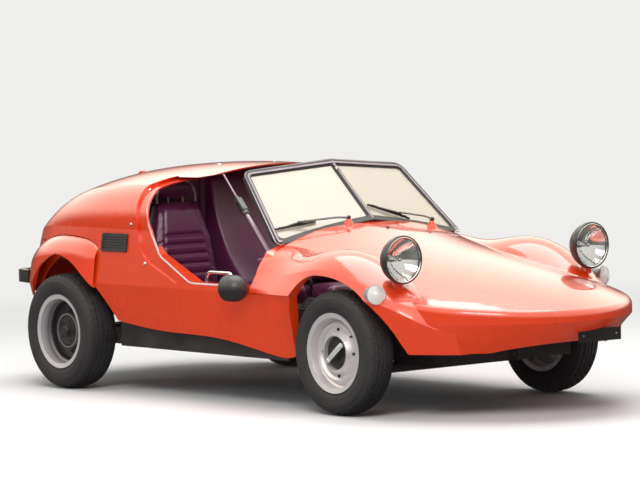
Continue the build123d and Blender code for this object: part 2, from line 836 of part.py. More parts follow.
def steering_column():
    """The column from the facia to the wheel, with the spindle that carries the wheel."""
    spindle = Pos(0, 0, -22) * Cylinder(spindle_radius, 40)
    case = Pos(0, 0, -171) * Cylinder(24, 266)
    shaft = Pos(0, 0, -38 - 700) * Cylinder(12, 1400)
    column = steering_plane() * (spindle + case + shaft)
    x = wheel_centre.X
    bracket = block((x - 20, x + 20), (620, 660), (572, 760))
    above_floor = block((0, 900), (-500, 1200), (seat_base, 1200))
    over = dashboard_solid(-seat_gap) + block((0, 900), (500, 700), (700, 900))
    return ((column + bracket) & above_floor) - over


def gear_lever():
    """A cranked lever with a ball knob on the tunnel."""
    foot = Vector(0, 1010, tunnel_top + 10)
    bend = Vector(0, 1000, 520)
    top = Vector(0, 1060, 640)
    boot = Pos(0, 1010, tunnel_top + seat_gap + 15) * Cone(45, 14, 30)
    return boot + tube(foot, bend, 7) + Pos(*bend) * Sphere(7) + tube(bend, top, 7) + Pos(*top) * Sphere(22)


def grab_hoops():
    """A bent grab bar on each sill."""
    x = 688
    low = sill_height + seat_gap
    top = sill_height + 48
    path = FilletPolyline((x, 740, low), (x, 740, top), (x, 930, top), (x, 930, low), radius=30)
    bar = sweep(Plane(origin=(x, 740, low), z_dir=(0, 0, 1)) * Circle(8), path=path)
    return pair(bar)


# Axles and wheels


kingpin_x = 545
kingpin_radius = 10
stub_radius = 15
stub_recess = 8
engine_front = wheelbase + 85
engine_back = wheelbase + 403
yoke_gap = 1
boss_half_height = 55


def front_axle_beam():
    """A transverse tube with a yoke and a kingpin at each end, hung under the footwell."""
    z = tyre_radius
    half = kingpin_x - 30
    beam = disc(0, 0, z - 90, 26, 2 * half - 40)
    web = block((half - 22, half), (-28, 28), (z - 116, z + boss_half_height + yoke_gap + 14))
    lugs = block((half - 22, kingpin_x + 18), (-24, 24), (z + boss_half_height + yoke_gap, z + boss_half_height + 15))
    lugs = lugs + block(
        (half - 22, kingpin_x + 18), (-24, 24), (z - boss_half_height - 15, z - boss_half_height - yoke_gap)
    )
    pin = Pos(kingpin_x, 0, z) * Cylinder(kingpin_radius, 2 * boss_half_height + 20)
    end = web + lugs + pin
    mount = block((150, 200), (-30, 30), (z - 90, floor_height - 0.3))
    return beam + end + flip(end) + mount + flip(mount)


@cache
def knuckle():
    """The left steering knuckle: kingpin boss, steering arm and the stub that carries the wheel."""
    z = tyre_radius
    boss = Pos(kingpin_x, 0, z) * Cylinder(20, 2 * boss_half_height)
    stub = tube((kingpin_x, 0, z), (front_track / 2 + front_dish - stub_recess, 0, z), stub_radius)
    arm = block((kingpin_x - 12, kingpin_x + 12), (10, 130), (z - 40, z - 26))
    body = boss + stub + arm
    return body - Pos(kingpin_x, 0, z) * Cylinder(kingpin_radius + turning_gap, 300)


bead_radius = 165
well_radius = 148
collar_radius = 77
drum_radius = 110
drum_depth = 60
hub_radius = 72
disc_thickness = 5
bolt_circle = 106
bolt_hole_radius = 7.5


def rim(width, half_track, dish, root, ring_rise, collar_rise):
    """A steel wheel for the left side: its barrel, and its pressed disc with a collar round the hub."""
    half = width / 2
    seat = bead_radius
    edge = rim_radius
    section = [
        (-half - 4, edge),
        (-half, edge),
        (-half + 3, seat),
        (-22, seat - 1),
        (-16, well_radius + 4),
        (16, well_radius + 4),
        (22, seat - 1),
        (half - 3, seat),
        (half, edge),
        (half + 4, edge),
        (half, seat - 4),
        (24, seat - 6),
        (18, well_radius),
        (-18, well_radius),
        (-24, seat - 6),
        (-half, seat - 4),
    ]
    barrel = revolve(Plane.XZ * make_face(Polyline(*section, close=True)), Axis.X)
    ring_x = dish + ring_rise
    back = dish - disc_thickness
    pressed = [
        (root, well_radius + 1),
        (ring_x, 134),
        (ring_x, 125),
        (dish, 114),
        (dish, 97),
        (dish + collar_rise, 84),
        (dish + collar_rise, collar_radius),
        (back, collar_radius),
        (back, 115),
        (ring_x - disc_thickness, 127),
        (ring_x - disc_thickness, 132),
        (root - 6, well_radius + 1),
    ]
    wheel = barrel + revolve(Plane.XZ * make_face(Polyline(*pressed, close=True)), Axis.X)
    for angle in (0, 90, 180, 270):
        y = bolt_circle * cos(radians(angle))
        z = bolt_circle * sin(radians(angle))
        wheel = wheel - disc(dish, y, z, bolt_hole_radius, 40)
    return Pos(half_track, 0, 0) * wheel


def drum(half_track, dish, hub_rise):
    """The brake drum behind a left wheel's disc, with the blind hub that turns on its stub."""
    back = dish - disc_thickness - seat_gap
    body = disc(back - drum_depth / 2, 0, 0, drum_radius, drum_depth)
    hub_face = dish + hub_rise
    body = body + disc((back + hub_face) / 2, 0, 0, hub_radius, hub_face - back)
    bore_end = dish - stub_recess + 1
    bore = disc(bore_end - 50, 0, 0, stub_radius + turning_gap, 100)
    return Pos(half_track, 0, 0) * (body - bore)


def tyre(width, rim_width, half_track):
    """A tyre seated between the rim's flanges, its wall in straight bands."""
    half = width / 2
    bead = (rim_width / 2 - 9, bead_radius + seat_gap)
    wall_line = [(half - 1, 212), (half, 232), (half - 3, 250), (half - 9, 264), (half - 18, 275)]
    side = [bead, *wall_line, (half - 31, tyre_radius - 3), (half - 50, tyre_radius)]
    section = [*side, *((-x, r) for x, r in reversed(side))]
    return Pos(half_track, 0, 0) * revolve(Plane.XZ * make_face(Polyline(*section, close=True)), Axis.X)


front_rim_width = 126
rear_rim_width = 148
front_dish = 30
rear_dish = 0

# Columns: end of the car, station, track, tyre width, rim width, and the offsets along the axle of the
# disc from the wheel's middle, of its root from there, and of its ring, collar and hub from the disc
AXLES = (
    ("front", 0, front_track, front_tyre_width, front_rim_width, front_dish, 14, 10, 24, 4),
    ("rear", wheelbase, rear_track, rear_tyre_width, rear_rim_width, rear_dish, -8, -2, 27, 24),
)


def rear_axle():
    """Gearbox, half shafts and the arms that carry the rear stubs."""
    z = tyre_radius
    box = block((-120, 120), (wheelbase - 167, engine_front - seat_gap), (z - 60, z + 90))
    box = box + disc(0, wheelbase, z, 90, 260)
    end = rear_track / 2 + rear_dish - disc_thickness - drum_depth - 18
    shaft = tube((120, wheelbase, z), (end, wheelbase, z), 18)
    carrier = block((560, end), (wheelbase - 45, wheelbase + 45), (z - 50, z + 50))
    arm_height = (z - 60, rail_top)
    arm = block((rail_outer + seat_gap, 600), (wheelbase - 327, wheelbase - 267), arm_height)
    arm = arm + block((560, 600), (wheelbase - 327, wheelbase), arm_height)
    stub = tube((590, wheelbase, z), (rear_track / 2 + rear_dish - stub_recess, wheelbase, z), stub_radius)
    half = shaft + carrier + arm + stub
    return box + half + flip(half)


def engine_block():
    """The engine, left as one plain block of its real size between the rails."""
    return block((-240, 240), (engine_front, engine_back), (318, 640))


can_station = engine_back + 110
can_radius = 55


def exhaust():
    """A transverse silencer under the tail with one tail pipe."""
    can = disc(0, can_station, 355, can_radius, 460)
    pipe = tube((150, can_station, 340), (150, can_station + 64, 316), 20)
    feeds = [tube((x, engine_back - 30, 350), (x, can_station - 20, 355), 18) for x in (-120, 120)]
    block_room = block((-400, 400), (0, engine_back + seat_gap), (0, 700))
    return can + pipe + feeds - block_room


PIECES = {
    "front_body": front_body,
    "side_panel_left": side_panel,
    "side_panel_right": lambda: flip(side_panel()),
    "canopy": canopy,
    "engine_lid": engine_lid,
    "rear_body": rear_body,
    "windscreen_frame": windscreen_frame,
    "windscreen_glass": windscreen_glass,
    "roof_stays": roof_stays,
    "headlamps": headlamps,
    "headlamp_lenses": headlamp_lenses,
    "turn_signals": turn_signals,
    "mirrors": mirrors,
    "side_vents": side_vents,
    "rear_bumper": rear_bumper,
    "tail_lamps": tail_lamps,
    "number_plates": number_plates,
    "floor_pan": floor_pan,
    "chassis_rails": chassis_rails,
    "bulkhead": bulkhead,
    "dashboard": lambda: dashboard_solid(0),
    "seat_left": lambda: seat(1),
    "seat_right": lambda: seat(-1),
    "steering_wheel": steering_wheel,
    "steering_column": steering_column,
    "gear_lever": gear_lever,
    "grab_hoops": grab_hoops,
    "front_axle_beam": front_axle_beam,
    "knuckle_left": knuckle,
    "knuckle_right": lambda: flip(knuckle()),
    "rear_axle": rear_axle,
    "engine_block": engine_block,
    "exhaust": exhaust,
}

os.makedirs("parts", exist_ok=True)
for name, make in PIECES.items():
    save(name, make())
for end, station, track, tyre_width, rim_width, dish, root, ring_rise, collar_rise, hub_rise in AXLES:
    place = Pos(0, station, tyre_radius)
    left_wheel = {
        "rim": rim(rim_width, track / 2, dish, root, ring_rise, collar_rise),
        "drum": drum(track / 2, dish, hub_rise),
        "tyre": tyre(tyre_width, rim_width, track / 2),
    }
    for name, piece in left_wheel.items():
        save(f"{name}_{end}_left", place * piece)
        save(f"{name}_{end}_right", flip(place * piece))
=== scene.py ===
"""Dresses a doorless beach car: paint, glass, lamps, wheels, seats and trim over its fixed frame."""

import json
import logging
from dataclasses import dataclass, field
from enum import Enum
from math import atan2, cos, exp, pi, radians, sin, tau
from typing import Any, Callable, Iterable, Optional

import bmesh
import bpy
from mathutils import Matrix, Vector
from mathutils.bvhtree import BVHTree


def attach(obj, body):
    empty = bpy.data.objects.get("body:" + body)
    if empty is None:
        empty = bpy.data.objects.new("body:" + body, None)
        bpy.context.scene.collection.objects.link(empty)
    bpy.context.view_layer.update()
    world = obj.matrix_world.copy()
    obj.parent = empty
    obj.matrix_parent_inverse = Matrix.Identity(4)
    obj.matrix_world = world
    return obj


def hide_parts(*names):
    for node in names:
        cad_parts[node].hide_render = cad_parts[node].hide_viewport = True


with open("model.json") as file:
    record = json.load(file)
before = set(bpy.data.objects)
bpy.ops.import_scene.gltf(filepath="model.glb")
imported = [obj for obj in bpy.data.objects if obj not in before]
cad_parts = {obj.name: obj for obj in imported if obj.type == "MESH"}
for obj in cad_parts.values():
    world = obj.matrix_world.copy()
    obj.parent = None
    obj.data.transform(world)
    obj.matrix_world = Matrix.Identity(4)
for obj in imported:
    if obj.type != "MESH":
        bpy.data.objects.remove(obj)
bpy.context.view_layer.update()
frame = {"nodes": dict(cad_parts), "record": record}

log = logging.getLogger("beach_car")

Colour = tuple[float, float, float]
Outline = list[tuple[float, float]]

# The frame's origin is on the ground under the middle of the car. Stations are metres behind the front axle.
FRONT_AXLE = -0.835
UP, DOWN = Vector((0, 0, 1)), Vector((0, 0, -1))
AHEAD, REARWARDS = Vector((0, -1, 0)), Vector((0, 1, 0))

# A ray that looks for the body's surface starts this far beside the car's middle, or this high.
BESIDE, OVERHEAD = 1.2, 1.4


def at(x: float, station: float, z: float) -> Vector:
    """A point from its side, its distance behind the front axle and its height, in metres."""
    return Vector((x, station + FRONT_AXLE, z))


def station_of(point: Vector) -> float:
    """How far a point lies behind the front axle."""
    return point.y - FRONT_AXLE


class Side(Enum):
    """The two sides of the car, by the sign of X."""

    LEFT = 1
    RIGHT = -1

    @property
    def word(self) -> str:
        """The side's name."""
        return self.name.lower()

    @property
    def out(self) -> Vector:
        """The direction out of the car on this side."""
        return Vector((self.value, 0, 0))

    def at(self, x: float, station: float, z: float) -> Vector:
        """A point on this side, from its distance beside the car's middle, its station and its height."""
        return at(self.value * x, station, z)


# Finishes


class Slot(Enum):
    """The record's names for the finishes."""

    PAINT = "body_orange"
    RUBBER = "frame_rubber"
    GLASS = "clear_glass"
    BRIGHT = "bright_metal"
    LAMP_GLASS = "lamp_glass"
    WHITE_LENS = "white_lens"
    RED_LENS = "red_lens"
    PLASTIC = "black_plastic"
    BLACK_STEEL = "black_steel"
    PLATE = "plate_black"
    VINYL = "vinyl"
    SILVER = "silver_paint"
    TYRE = "tyre_rubber"
    CAST = "cast_metal"
    ENGINE = "engine_metal"
    STEEL = "steel"


def fill(node: bpy.types.Node, values: dict[str, Any]) -> None:
    """Sets a node's inputs.

    Args:
        node: The node.
        values: The inputs' values, by name.
    """
    for name, value in values.items():
        node.inputs[name].default_value = value


def add_node(tree: bpy.types.NodeTree, kind: str, values: Optional[dict[str, Any]] = None,
             **settings: Any) -> bpy.types.Node:
    """Adds one shader node.

    Args:
        tree: The tree that it joins.
        kind: Its type.
        values: Its inputs' values, by name.
        settings: What the node itself is set to, such as its operation.

    Returns:
        The node.
    """
    node = tree.nodes.new(kind)
    for name, value in settings.items():
        setattr(node, name, value)
    fill(node, values or {})
    return node


def link(tree: bpy.types.NodeTree, *pairs: tuple[bpy.types.NodeSocket, bpy.types.NodeSocket]) -> None:
    """Joins sockets.

    Args:
        tree: The tree that they are in.
        pairs: Each source with its target.
    """
    for source, target in pairs:
        tree.links.new(source, target)


def variation_group() -> bpy.types.NodeTree:
    """Builds the shared effect: soft cloudy variation of a value, and fine grain for a bump.

    Returns:
        A group with inputs Scale, Grain, Low and High, and outputs Cloud and Height.
    """
    group = bpy.data.node_groups.new("surface_variation", "ShaderNodeTree")
    for name, value in (("Scale", 4.0), ("Grain", 300.0), ("Low", 0.3), ("High", 0.4)):
        socket = group.interface.new_socket(name=name, in_out="INPUT", socket_type="NodeSocketFloat")
        socket.default_value = value
    for name in ("Cloud", "Height"):
        group.interface.new_socket(name=name, in_out="OUTPUT", socket_type="NodeSocketFloat")
    inside = add_node(group, "NodeGroupInput")
    outside = add_node(group, "NodeGroupOutput")
    place = add_node(group, "ShaderNodeTexCoord")
    cloud = add_node(group, "ShaderNodeTexNoise", {"Detail": 5.0})
    grain = add_node(group, "ShaderNodeTexNoise", {"Detail": 3.0})
    spread = add_node(group, "ShaderNodeMapRange", {"From Min": 0.3, "From Max": 0.7})
    link(group,
         (place.outputs["Object"], cloud.inputs["Vector"]),
         (place.outputs["Object"], grain.inputs["Vector"]),
         (inside.outputs["Scale"], cloud.inputs["Scale"]),
         (inside.outputs["Grain"], grain.inputs["Scale"]),
         (cloud.outputs["Fac"], spread.inputs["Value"]),
         (inside.outputs["Low"], spread.inputs["To Min"]),
         (inside.outputs["High"], spread.inputs["To Max"]),
         (spread.outputs["Result"], outside.inputs["Cloud"]),
         (grain.outputs["Fac"], outside.inputs["Height"]))
    return group


VARIATION = variation_group()
# The dark colour painted into a rear wheel's deep middle as shade.
PAINTED_RIM_SHADE = (0.055, 0.045, 0.050, 1.0)


@dataclass(frozen=True)
class Finish:
    """One surface finish: its colours, gloss and grain.

    The colour and the roughness vary together. Painted shade gives the distances from the middle of the car
    between which a wheel's colour turns from a painted dark shade in its deep middle to its own colour.
    """

    name: str
    colour: Colour
    second: Colour
    rough_low: float
    rough_high: float
    metallic: float = 0.0
    coat: float = 0.0
    coat_rough: float = 0.03
    cloud: float = 3.0
    grain: float = 300.0
    bump: float = 0.0
    bump_reach: float = 0.001
    sheen: float = 0.0
    painted_shade: Optional[tuple[float, float]] = None

    def make(self) -> bpy.types.Material:
        """Builds the material.

        Returns:
            The node material, its colour and roughness varying softly over the surface.
        """
        material = bpy.data.materials.new(self.name)
        material.use_nodes = True
        tree = material.node_tree
        shader = tree.nodes["Principled BSDF"]
        fill(shader, {"Metallic": self.metallic, "Coat Weight": self.coat, "Coat Roughness": self.coat_rough,
                      "Sheen Weight": self.sheen})
        effect = add_node(tree, "ShaderNodeGroup",
                          {"Scale": self.cloud, "Grain": self.grain, "Low": self.rough_low,
                           "High": self.rough_high}, node_tree=VARIATION)
        spread = add_node(tree, "ShaderNodeMapRange",
                          {"From Min": self.rough_low, "From Max": self.rough_high})
        blend = add_node(tree, "ShaderNodeMix", {"A": (*self.colour, 1.0), "B": (*self.second, 1.0)},
                         data_type="RGBA")
        link(tree,
             (effect.outputs["Cloud"], shader.inputs["Roughness"]),
             (effect.outputs["Cloud"], spread.inputs["Value"]),
             (spread.outputs["Result"], blend.inputs["Factor"]))
        unshaded = blend.outputs["Result"]
        link(tree, (self.add_painted_shade(tree, unshaded) if self.painted_shade else unshaded, shader.inputs["Base Color"]))
        if self.bump:
            bump = add_node(tree, "ShaderNodeBump", {"Strength": self.bump, "Distance": self.bump_reach})
            link(tree,
                 (effect.outputs["Height"], bump.inputs["Height"]),
                 (bump.outputs["Normal"], shader.inputs["Normal"]))
        return material

    def add_painted_shade(self, tree: bpy.types.NodeTree, unshaded: bpy.types.NodeSocket) -> bpy.types.NodeSocket:
        """Paints shade into a wheel's deep middle, darkening it by the distance from the middle of the car.

        Args:
            tree: The material's tree.
            unshaded: The colour without the painted shade.

        Returns:
            The colour with the painted shade.
        """
        # Painted shade: the deep middle takes the dark colour, fading to the rim's own colour towards its
        # open edge.
        deep, open_edge = self.painted_shade
        place = add_node(tree, "ShaderNodeTexCoord")
        parts = add_node(tree, "ShaderNodeSeparateXYZ")
        beside = add_node(tree, "ShaderNodeMath", operation="ABSOLUTE")
        fade = add_node(tree, "ShaderNodeMapRange", {"From Min": deep, "From Max": open_edge},
                        interpolation_type="SMOOTHSTEP")
        mix = add_node(tree, "ShaderNodeMix", {"A": PAINTED_RIM_SHADE}, data_type="RGBA")
        link(tree,
             (place.outputs["Object"], parts.inputs["Vector"]),
             (parts.outputs["X"], beside.inputs[0]),
             (beside.outputs["Value"], fade.inputs["Value"]),
             (fade.outputs["Result"], mix.inputs["Factor"]),
             (unshaded, mix.inputs["B"]))
        return mix.outputs["Result"]


@dataclass(frozen=True)
class GlassFinish:
    """Clear glass or a clear lens."""

    name: str
    colour: Colour
    rough: float = 0.02
    index: float = 1.45
    clear: float = 1.0

    def make(self) -> bpy.types.Material:
        """Builds the glass.

        Returns:
            A transmitting material.
        """
        material = bpy.data.materials.new(self.name)
        material.use_nodes = True
        fill(material.node_tree.nodes["Principled BSDF"],
             {"Base Color": (*self.colour, 1.0), "Roughness": self.rough, "IOR": self.index,
              "Transmission Weight": self.clear})
        return material


FINISHES = {
    Slot.PAINT: Finish("orange_gelcoat", (0.80, 0.050, 0.006), (0.74, 0.043, 0.005), 0.24, 0.32, coat=1.0,
                       cloud=2.0, grain=7.0, bump=0.05, bump_reach=0.012),
    Slot.RUBBER: Finish("black_rubber_section", (0.018, 0.017, 0.018), (0.028, 0.026, 0.027), 0.45, 0.62,
                        grain=900, bump=0.08, bump_reach=0.0004),
    # Cream tint and partial clearness paint the sky's reflection into the windscreen glass.
    Slot.GLASS: GlassFinish("windscreen_glass", (0.86, 0.79, 0.66), clear=0.40),
    Slot.BRIGHT: Finish("polished_metal", (0.72, 0.72, 0.72), (0.66, 0.66, 0.67), 0.10, 0.18, metallic=1.0),
    Slot.LAMP_GLASS: GlassFinish("lamp_glass", (0.97, 0.97, 0.95)),
    Slot.WHITE_LENS: Finish("white_lens", (0.80, 0.79, 0.76), (0.74, 0.73, 0.70), 0.16, 0.24, coat=0.6),
    Slot.RED_LENS: Finish("red_lens", (0.36, 0.008, 0.006), (0.30, 0.006, 0.005), 0.10, 0.18, coat=0.8),
    Slot.PLASTIC: Finish("black_plastic", (0.020, 0.019, 0.022), (0.030, 0.028, 0.032), 0.36, 0.52,
                         grain=1200, bump=0.12, bump_reach=0.0004),
    Slot.BLACK_STEEL: Finish("black_chassis_paint", (0.016, 0.015, 0.015), (0.035, 0.030, 0.028), 0.42, 0.70,
                             cloud=9.0, grain=400, bump=0.12, bump_reach=0.0006),
    Slot.PLATE: Finish("plate_black", (0.012, 0.012, 0.013), (0.020, 0.020, 0.021), 0.30, 0.42),
    Slot.VINYL: Finish("aubergine_vinyl", (0.105, 0.010, 0.060), (0.130, 0.016, 0.076), 0.28, 0.40, cloud=7.0,
                       grain=700, bump=0.25, bump_reach=0.0006, sheen=0.1),
    Slot.SILVER: Finish("silver_wheel_paint", (0.74, 0.70, 0.71), (0.66, 0.62, 0.63), 0.26, 0.38,
                        metallic=0.45, cloud=6.0),
    Slot.TYRE: Finish("tyre_rubber", (0.016, 0.015, 0.017), (0.030, 0.027, 0.028), 0.62, 0.82, cloud=8.0,
                      grain=500, bump=0.15, bump_reach=0.0008),
    Slot.CAST: Finish("cast_alloy", (0.34, 0.33, 0.32), (0.24, 0.23, 0.22), 0.50, 0.70, metallic=0.9,
                      grain=240, bump=0.3, bump_reach=0.001),
    Slot.ENGINE: Finish("engine_metal", (0.06, 0.058, 0.056), (0.09, 0.085, 0.08), 0.50, 0.70, metallic=0.6,
                        grain=200, bump=0.3, bump_reach=0.001),
    Slot.STEEL: Finish("plain_steel", (0.40, 0.39, 0.38), (0.30, 0.27, 0.25), 0.35, 0.55, metallic=1.0,
                       cloud=10.0),
}
MATERIALS = {slot: finish.make() for slot, finish in FINISHES.items()}

# Finishes of small pieces that share a slot with a larger one
EXTRAS = {
    finish.name: finish.make()
    for finish in (
        Finish("dark_bolts", (0.035, 0.033, 0.032), (0.060, 0.050, 0.045), 0.40, 0.60, metallic=0.8,
               grain=500, bump=0.1),
        Finish("bright_plate", (0.86, 0.85, 0.82), (0.80, 0.79, 0.77), 0.22, 0.32, metallic=0.5, coat=0.4),
        Finish("silvered", (0.90, 0.90, 0.90), (0.86, 0.86, 0.87), 0.04, 0.09, metallic=1.0),
        # Satin metal for the bar's clip; its pale colour also paints the highlight strips on the windscreen
        # frame's edge and centre bar.
        Finish("satin_metal_and_highlight", (0.52, 0.44, 0.48), (0.45, 0.38, 0.42), 0.32, 0.42, metallic=0.4, cloud=12.0),
        Finish("dull_channel", (0.34, 0.27, 0.31), (0.29, 0.23, 0.27), 0.40, 0.52, metallic=0.1, cloud=12.0,
               grain=700, bump=0.05),
        # The rear rims' silver, with painted shade darkening their deep middle.
        Finish("wheel_painted_shade", (0.74, 0.70, 0.71), (0.66, 0.62, 0.63), 0.28, 0.42, metallic=0.45, cloud=6.0,
               painted_shade=(0.706, 0.762)),
        Finish("stay_tube", (0.20, 0.13, 0.17), (0.16, 0.10, 0.14), 0.26, 0.38, metallic=0.6, coat=0.3,
               cloud=9.0),
        Finish("wiper_black", (0.022, 0.020, 0.022), (0.035, 0.030, 0.032), 0.30, 0.45, grain=800, bump=0.05),
        Finish("pale_edging", (0.72, 0.60, 0.58), (0.64, 0.52, 0.51), 0.34, 0.46, coat=0.2, grain=600,
               bump=0.04),
        Finish("grey_base", (0.30, 0.29, 0.30), (0.24, 0.23, 0.24), 0.45, 0.60, grain=700, bump=0.06),
        Finish("shell_black", (0.018, 0.013, 0.018), (0.028, 0.020, 0.027), 0.42, 0.58, grain=900, bump=0.10,
               bump_reach=0.0005),
        Finish("pale_piping", (0.46, 0.36, 0.42), (0.38, 0.29, 0.35), 0.32, 0.44, coat=0.2, grain=700,
               bump=0.05),
    )
}


# Making pieces


@dataclass(frozen=True)
class Fit:
    """Where a mesh belongs: its name, its finish, the nodes it stands for and the body it rides on."""

    name: str
    slot: Slot
    stands_for: tuple[str, ...] = ()
    finish: Optional[str] = None
    body: str = "car"
    crease: float = 35.0


def make_piece(bm: bmesh.types.BMesh, fit: Fit) -> bpy.types.Object:
    """Turns a bmesh into a finished piece of the car.

    Args:
        bm: The shape, in place. It is freed.
        fit: What the piece is.

    Returns:
        The new object, with its finish and body.
    """
    bmesh.ops.recalc_face_normals(bm, faces=bm.faces[:])
    mesh = bpy.data.meshes.new(fit.name)
    bm.to_mesh(mesh)
    bm.free()
    mesh.shade_smooth()
    mesh.set_sharp_from_angle(angle=radians(fit.crease))
    mesh.materials.append(EXTRAS[fit.finish] if fit.finish else MATERIALS[fit.slot])
    piece = bpy.data.objects.new(fit.name, mesh)
    bpy.context.scene.collection.objects.link(piece)
    if fit.stands_for:
        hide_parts(*fit.stands_for)
    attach(piece, fit.body)
    log.info("%s: %d faces on %s", fit.name, len(mesh.polygons), fit.body)
    return piece


def facing(place: Vector, out: Vector, spin: float = 0.0) -> Matrix:
    """A matrix whose Z axis points outwards at a place.

    Args:
        place: The origin.
        out: The direction of local Z.
        spin: A turn about local Z, in degrees.

    Returns:
        The matrix from local to the car's frame.
    """
    turn = out.to_track_quat("Z", "Y").to_matrix().to_4x4()
    return Matrix.Translation(place) @ turn @ Matrix.Rotation(radians(spin), 4, "Z")


def lathe(bm: bmesh.types.BMesh, section: Iterable[tuple[float, float]], place: Matrix, steps: int = 48,
          closed: bool = False) -> list[bmesh.types.BMVert]:
    """Spins a section of (radius, height) points about local Z.

    Args:
        bm: The mesh that it joins.
        section: The points, from one end to the other.
        place: The matrix from local to the car's frame.
        steps: Faces round the full turn.
        closed: True to join the last point to the first.

    Returns:
        The vertices made.
    """
    part = bmesh.new()
    verts = [part.verts.new((radius, 0.0, height)) for radius, height in section]
    chain = list(zip(verts, verts[1:])) + ([(verts[-1], verts[0])] if closed else [])
    edges = [part.edges.new(ends) for ends in chain]
    bmesh.ops.spin(part, geom=verts + edges, axis=(0, 0, 1), cent=(0, 0, 0), angle=tau, steps=steps,
                   use_merge=True)
    bmesh.ops.remove_doubles(part, verts=part.verts[:], dist=1e-6)
    bmesh.ops.recalc_face_normals(part, faces=part.faces[:])
    bmesh.ops.transform(part, matrix=place, verts=part.verts[:])
    return absorb(bm, part)


def absorb(bm: bmesh.types.BMesh, part: bmesh.types.BMesh) -> list[bmesh.types.BMVert]:
    """Moves everything from one bmesh into another.

    Args:
        bm: The mesh that grows.
        part: The mesh that it takes in. It is freed.

    Returns:
        The vertices added.
    """
    before = len(bm.verts)
    scratch = bpy.data.meshes.new("scratch")
    part.to_mesh(scratch)
    part.free()
    bm.from_mesh(scratch)
    bpy.data.meshes.remove(scratch)
    bm.verts.ensure_lookup_table()
    return bm.verts[before:]


def slab(bm: bmesh.types.BMesh, size: tuple[float, float, float], place: Matrix, soften: float = 0.001,
         segments: int = 2) -> list[bmesh.types.BMVert]:
    """A block with rounded edges, centred on local zero.

    Args:
        bm: The mesh that it joins.
        size: Its extent along the local axes.
        place: The matrix from local to the car's frame.
        soften: The radius of its edges.
        segments: Faces across a rounded edge.

    Returns:
        The vertices made.
    """
    part = bmesh.new()
    bmesh.ops.create_cube(part, size=1.0, matrix=Matrix.Diagonal((*size, 1.0)))
    if soften:
        bmesh.ops.bevel(part, geom=part.edges[:], offset=soften, segments=segments, affect="EDGES",
                        profile=0.5, material=-1)
    bmesh.ops.transform(part, matrix=place, verts=part.verts[:])
    return absorb(bm, part)


def circle(radius: float, count: int = 10) -> Outline:
    """The points of a round profile."""
    return [(radius * cos(tau * k / count), radius * sin(tau * k / count)) for k in range(count)]


def sweep(bm: bmesh.types.BMesh, path: list[Vector], profile: Outline, out: Vector,
          closed: bool = False) -> None:
    """Carries a closed profile along a path.

    Args:
        bm: The mesh that it joins.
        path: The points that it follows.
        profile: Its (outward, sideways) points.
        out: The direction that the profile's first value points to, as far as the path allows.
        closed: True for a path that ends where it starts.
    """
    rings = []
    last = len(path) - 1
    for index, point in enumerate(path):
        before = path[index - 1] if index or closed else point
        after = path[(index + 1) % len(path)] if index < last or closed else point
        along = (after - before).normalized()
        rise = (out - along * out.dot(along)).normalized()
        aside = along.cross(rise)
        verts = [bm.verts.new(point + rise * u + aside * v) for u, v in profile]
        rings.append([bm.edges.new((verts[k - 1], verts[k])) for k in range(len(verts))])
    pairs = list(zip(rings, rings[1:])) + ([(rings[-1], rings[0])] if closed else [])
    for one, two in pairs:
        bmesh.ops.bridge_loops(bm, edges=one + two)
    if not closed:
        bmesh.ops.holes_fill(bm, edges=rings[0], sides=0)
        bmesh.ops.holes_fill(bm, edges=rings[-1], sides=0)


def rounded(corners: list[Vector], radius: float, steps: int = 6) -> list[Vector]:
    """An open path with its inner corners rounded.

    Args:
        corners: The path's points.
        radius: How far from each corner the round starts.
        steps: Points on each round.

    Returns:
        The smoother path.
    """
    path = [corners[0]]
    for before, corner, after in zip(corners, corners[1:], corners[2:]):
        start = corner + (before - corner).normalized() * radius
        end = corner + (after - corner).normalized() * radius
        for step in range(steps + 1):
            t = step / steps
            path.append(start * (1 - t) ** 2 + corner * (2 * t * (1 - t)) + end * t**2)
    return [*path, corners[-1]]


class Skin:
    """The outer surface of some nodes of the frame, to seat trim on."""

    def __init__(self, *names: str) -> None:
        """Gathers the nodes' faces.

        Args:
            names: The nodes.
        """
        bm = bmesh.new()
        for name in names:
            bm.from_mesh(frame["nodes"][name].data)
        self.tree = BVHTree.FromBMesh(bm)
        bm.free()

    def below(self, start: Vector, way: Vector) -> tuple[Vector, Vector]:
        """The first point of the surface that a ray meets, and its outward normal.

        Args:
            start: Where the ray starts.
            way: Its direction.

        Returns:
            The point and the normal, which faces against the ray.
        """
        point, normal, _, _ = self.tree.ray_cast(start, way.normalized())
        if point is None:
            point, normal, _, _ = self.tree.find_nearest(start)
        return point, normal if normal.dot(way) < 0 else -normal


# Wheels


class End(Enum):
    """The two ends of the car."""

    FRONT = "front"
    REAR = "rear"


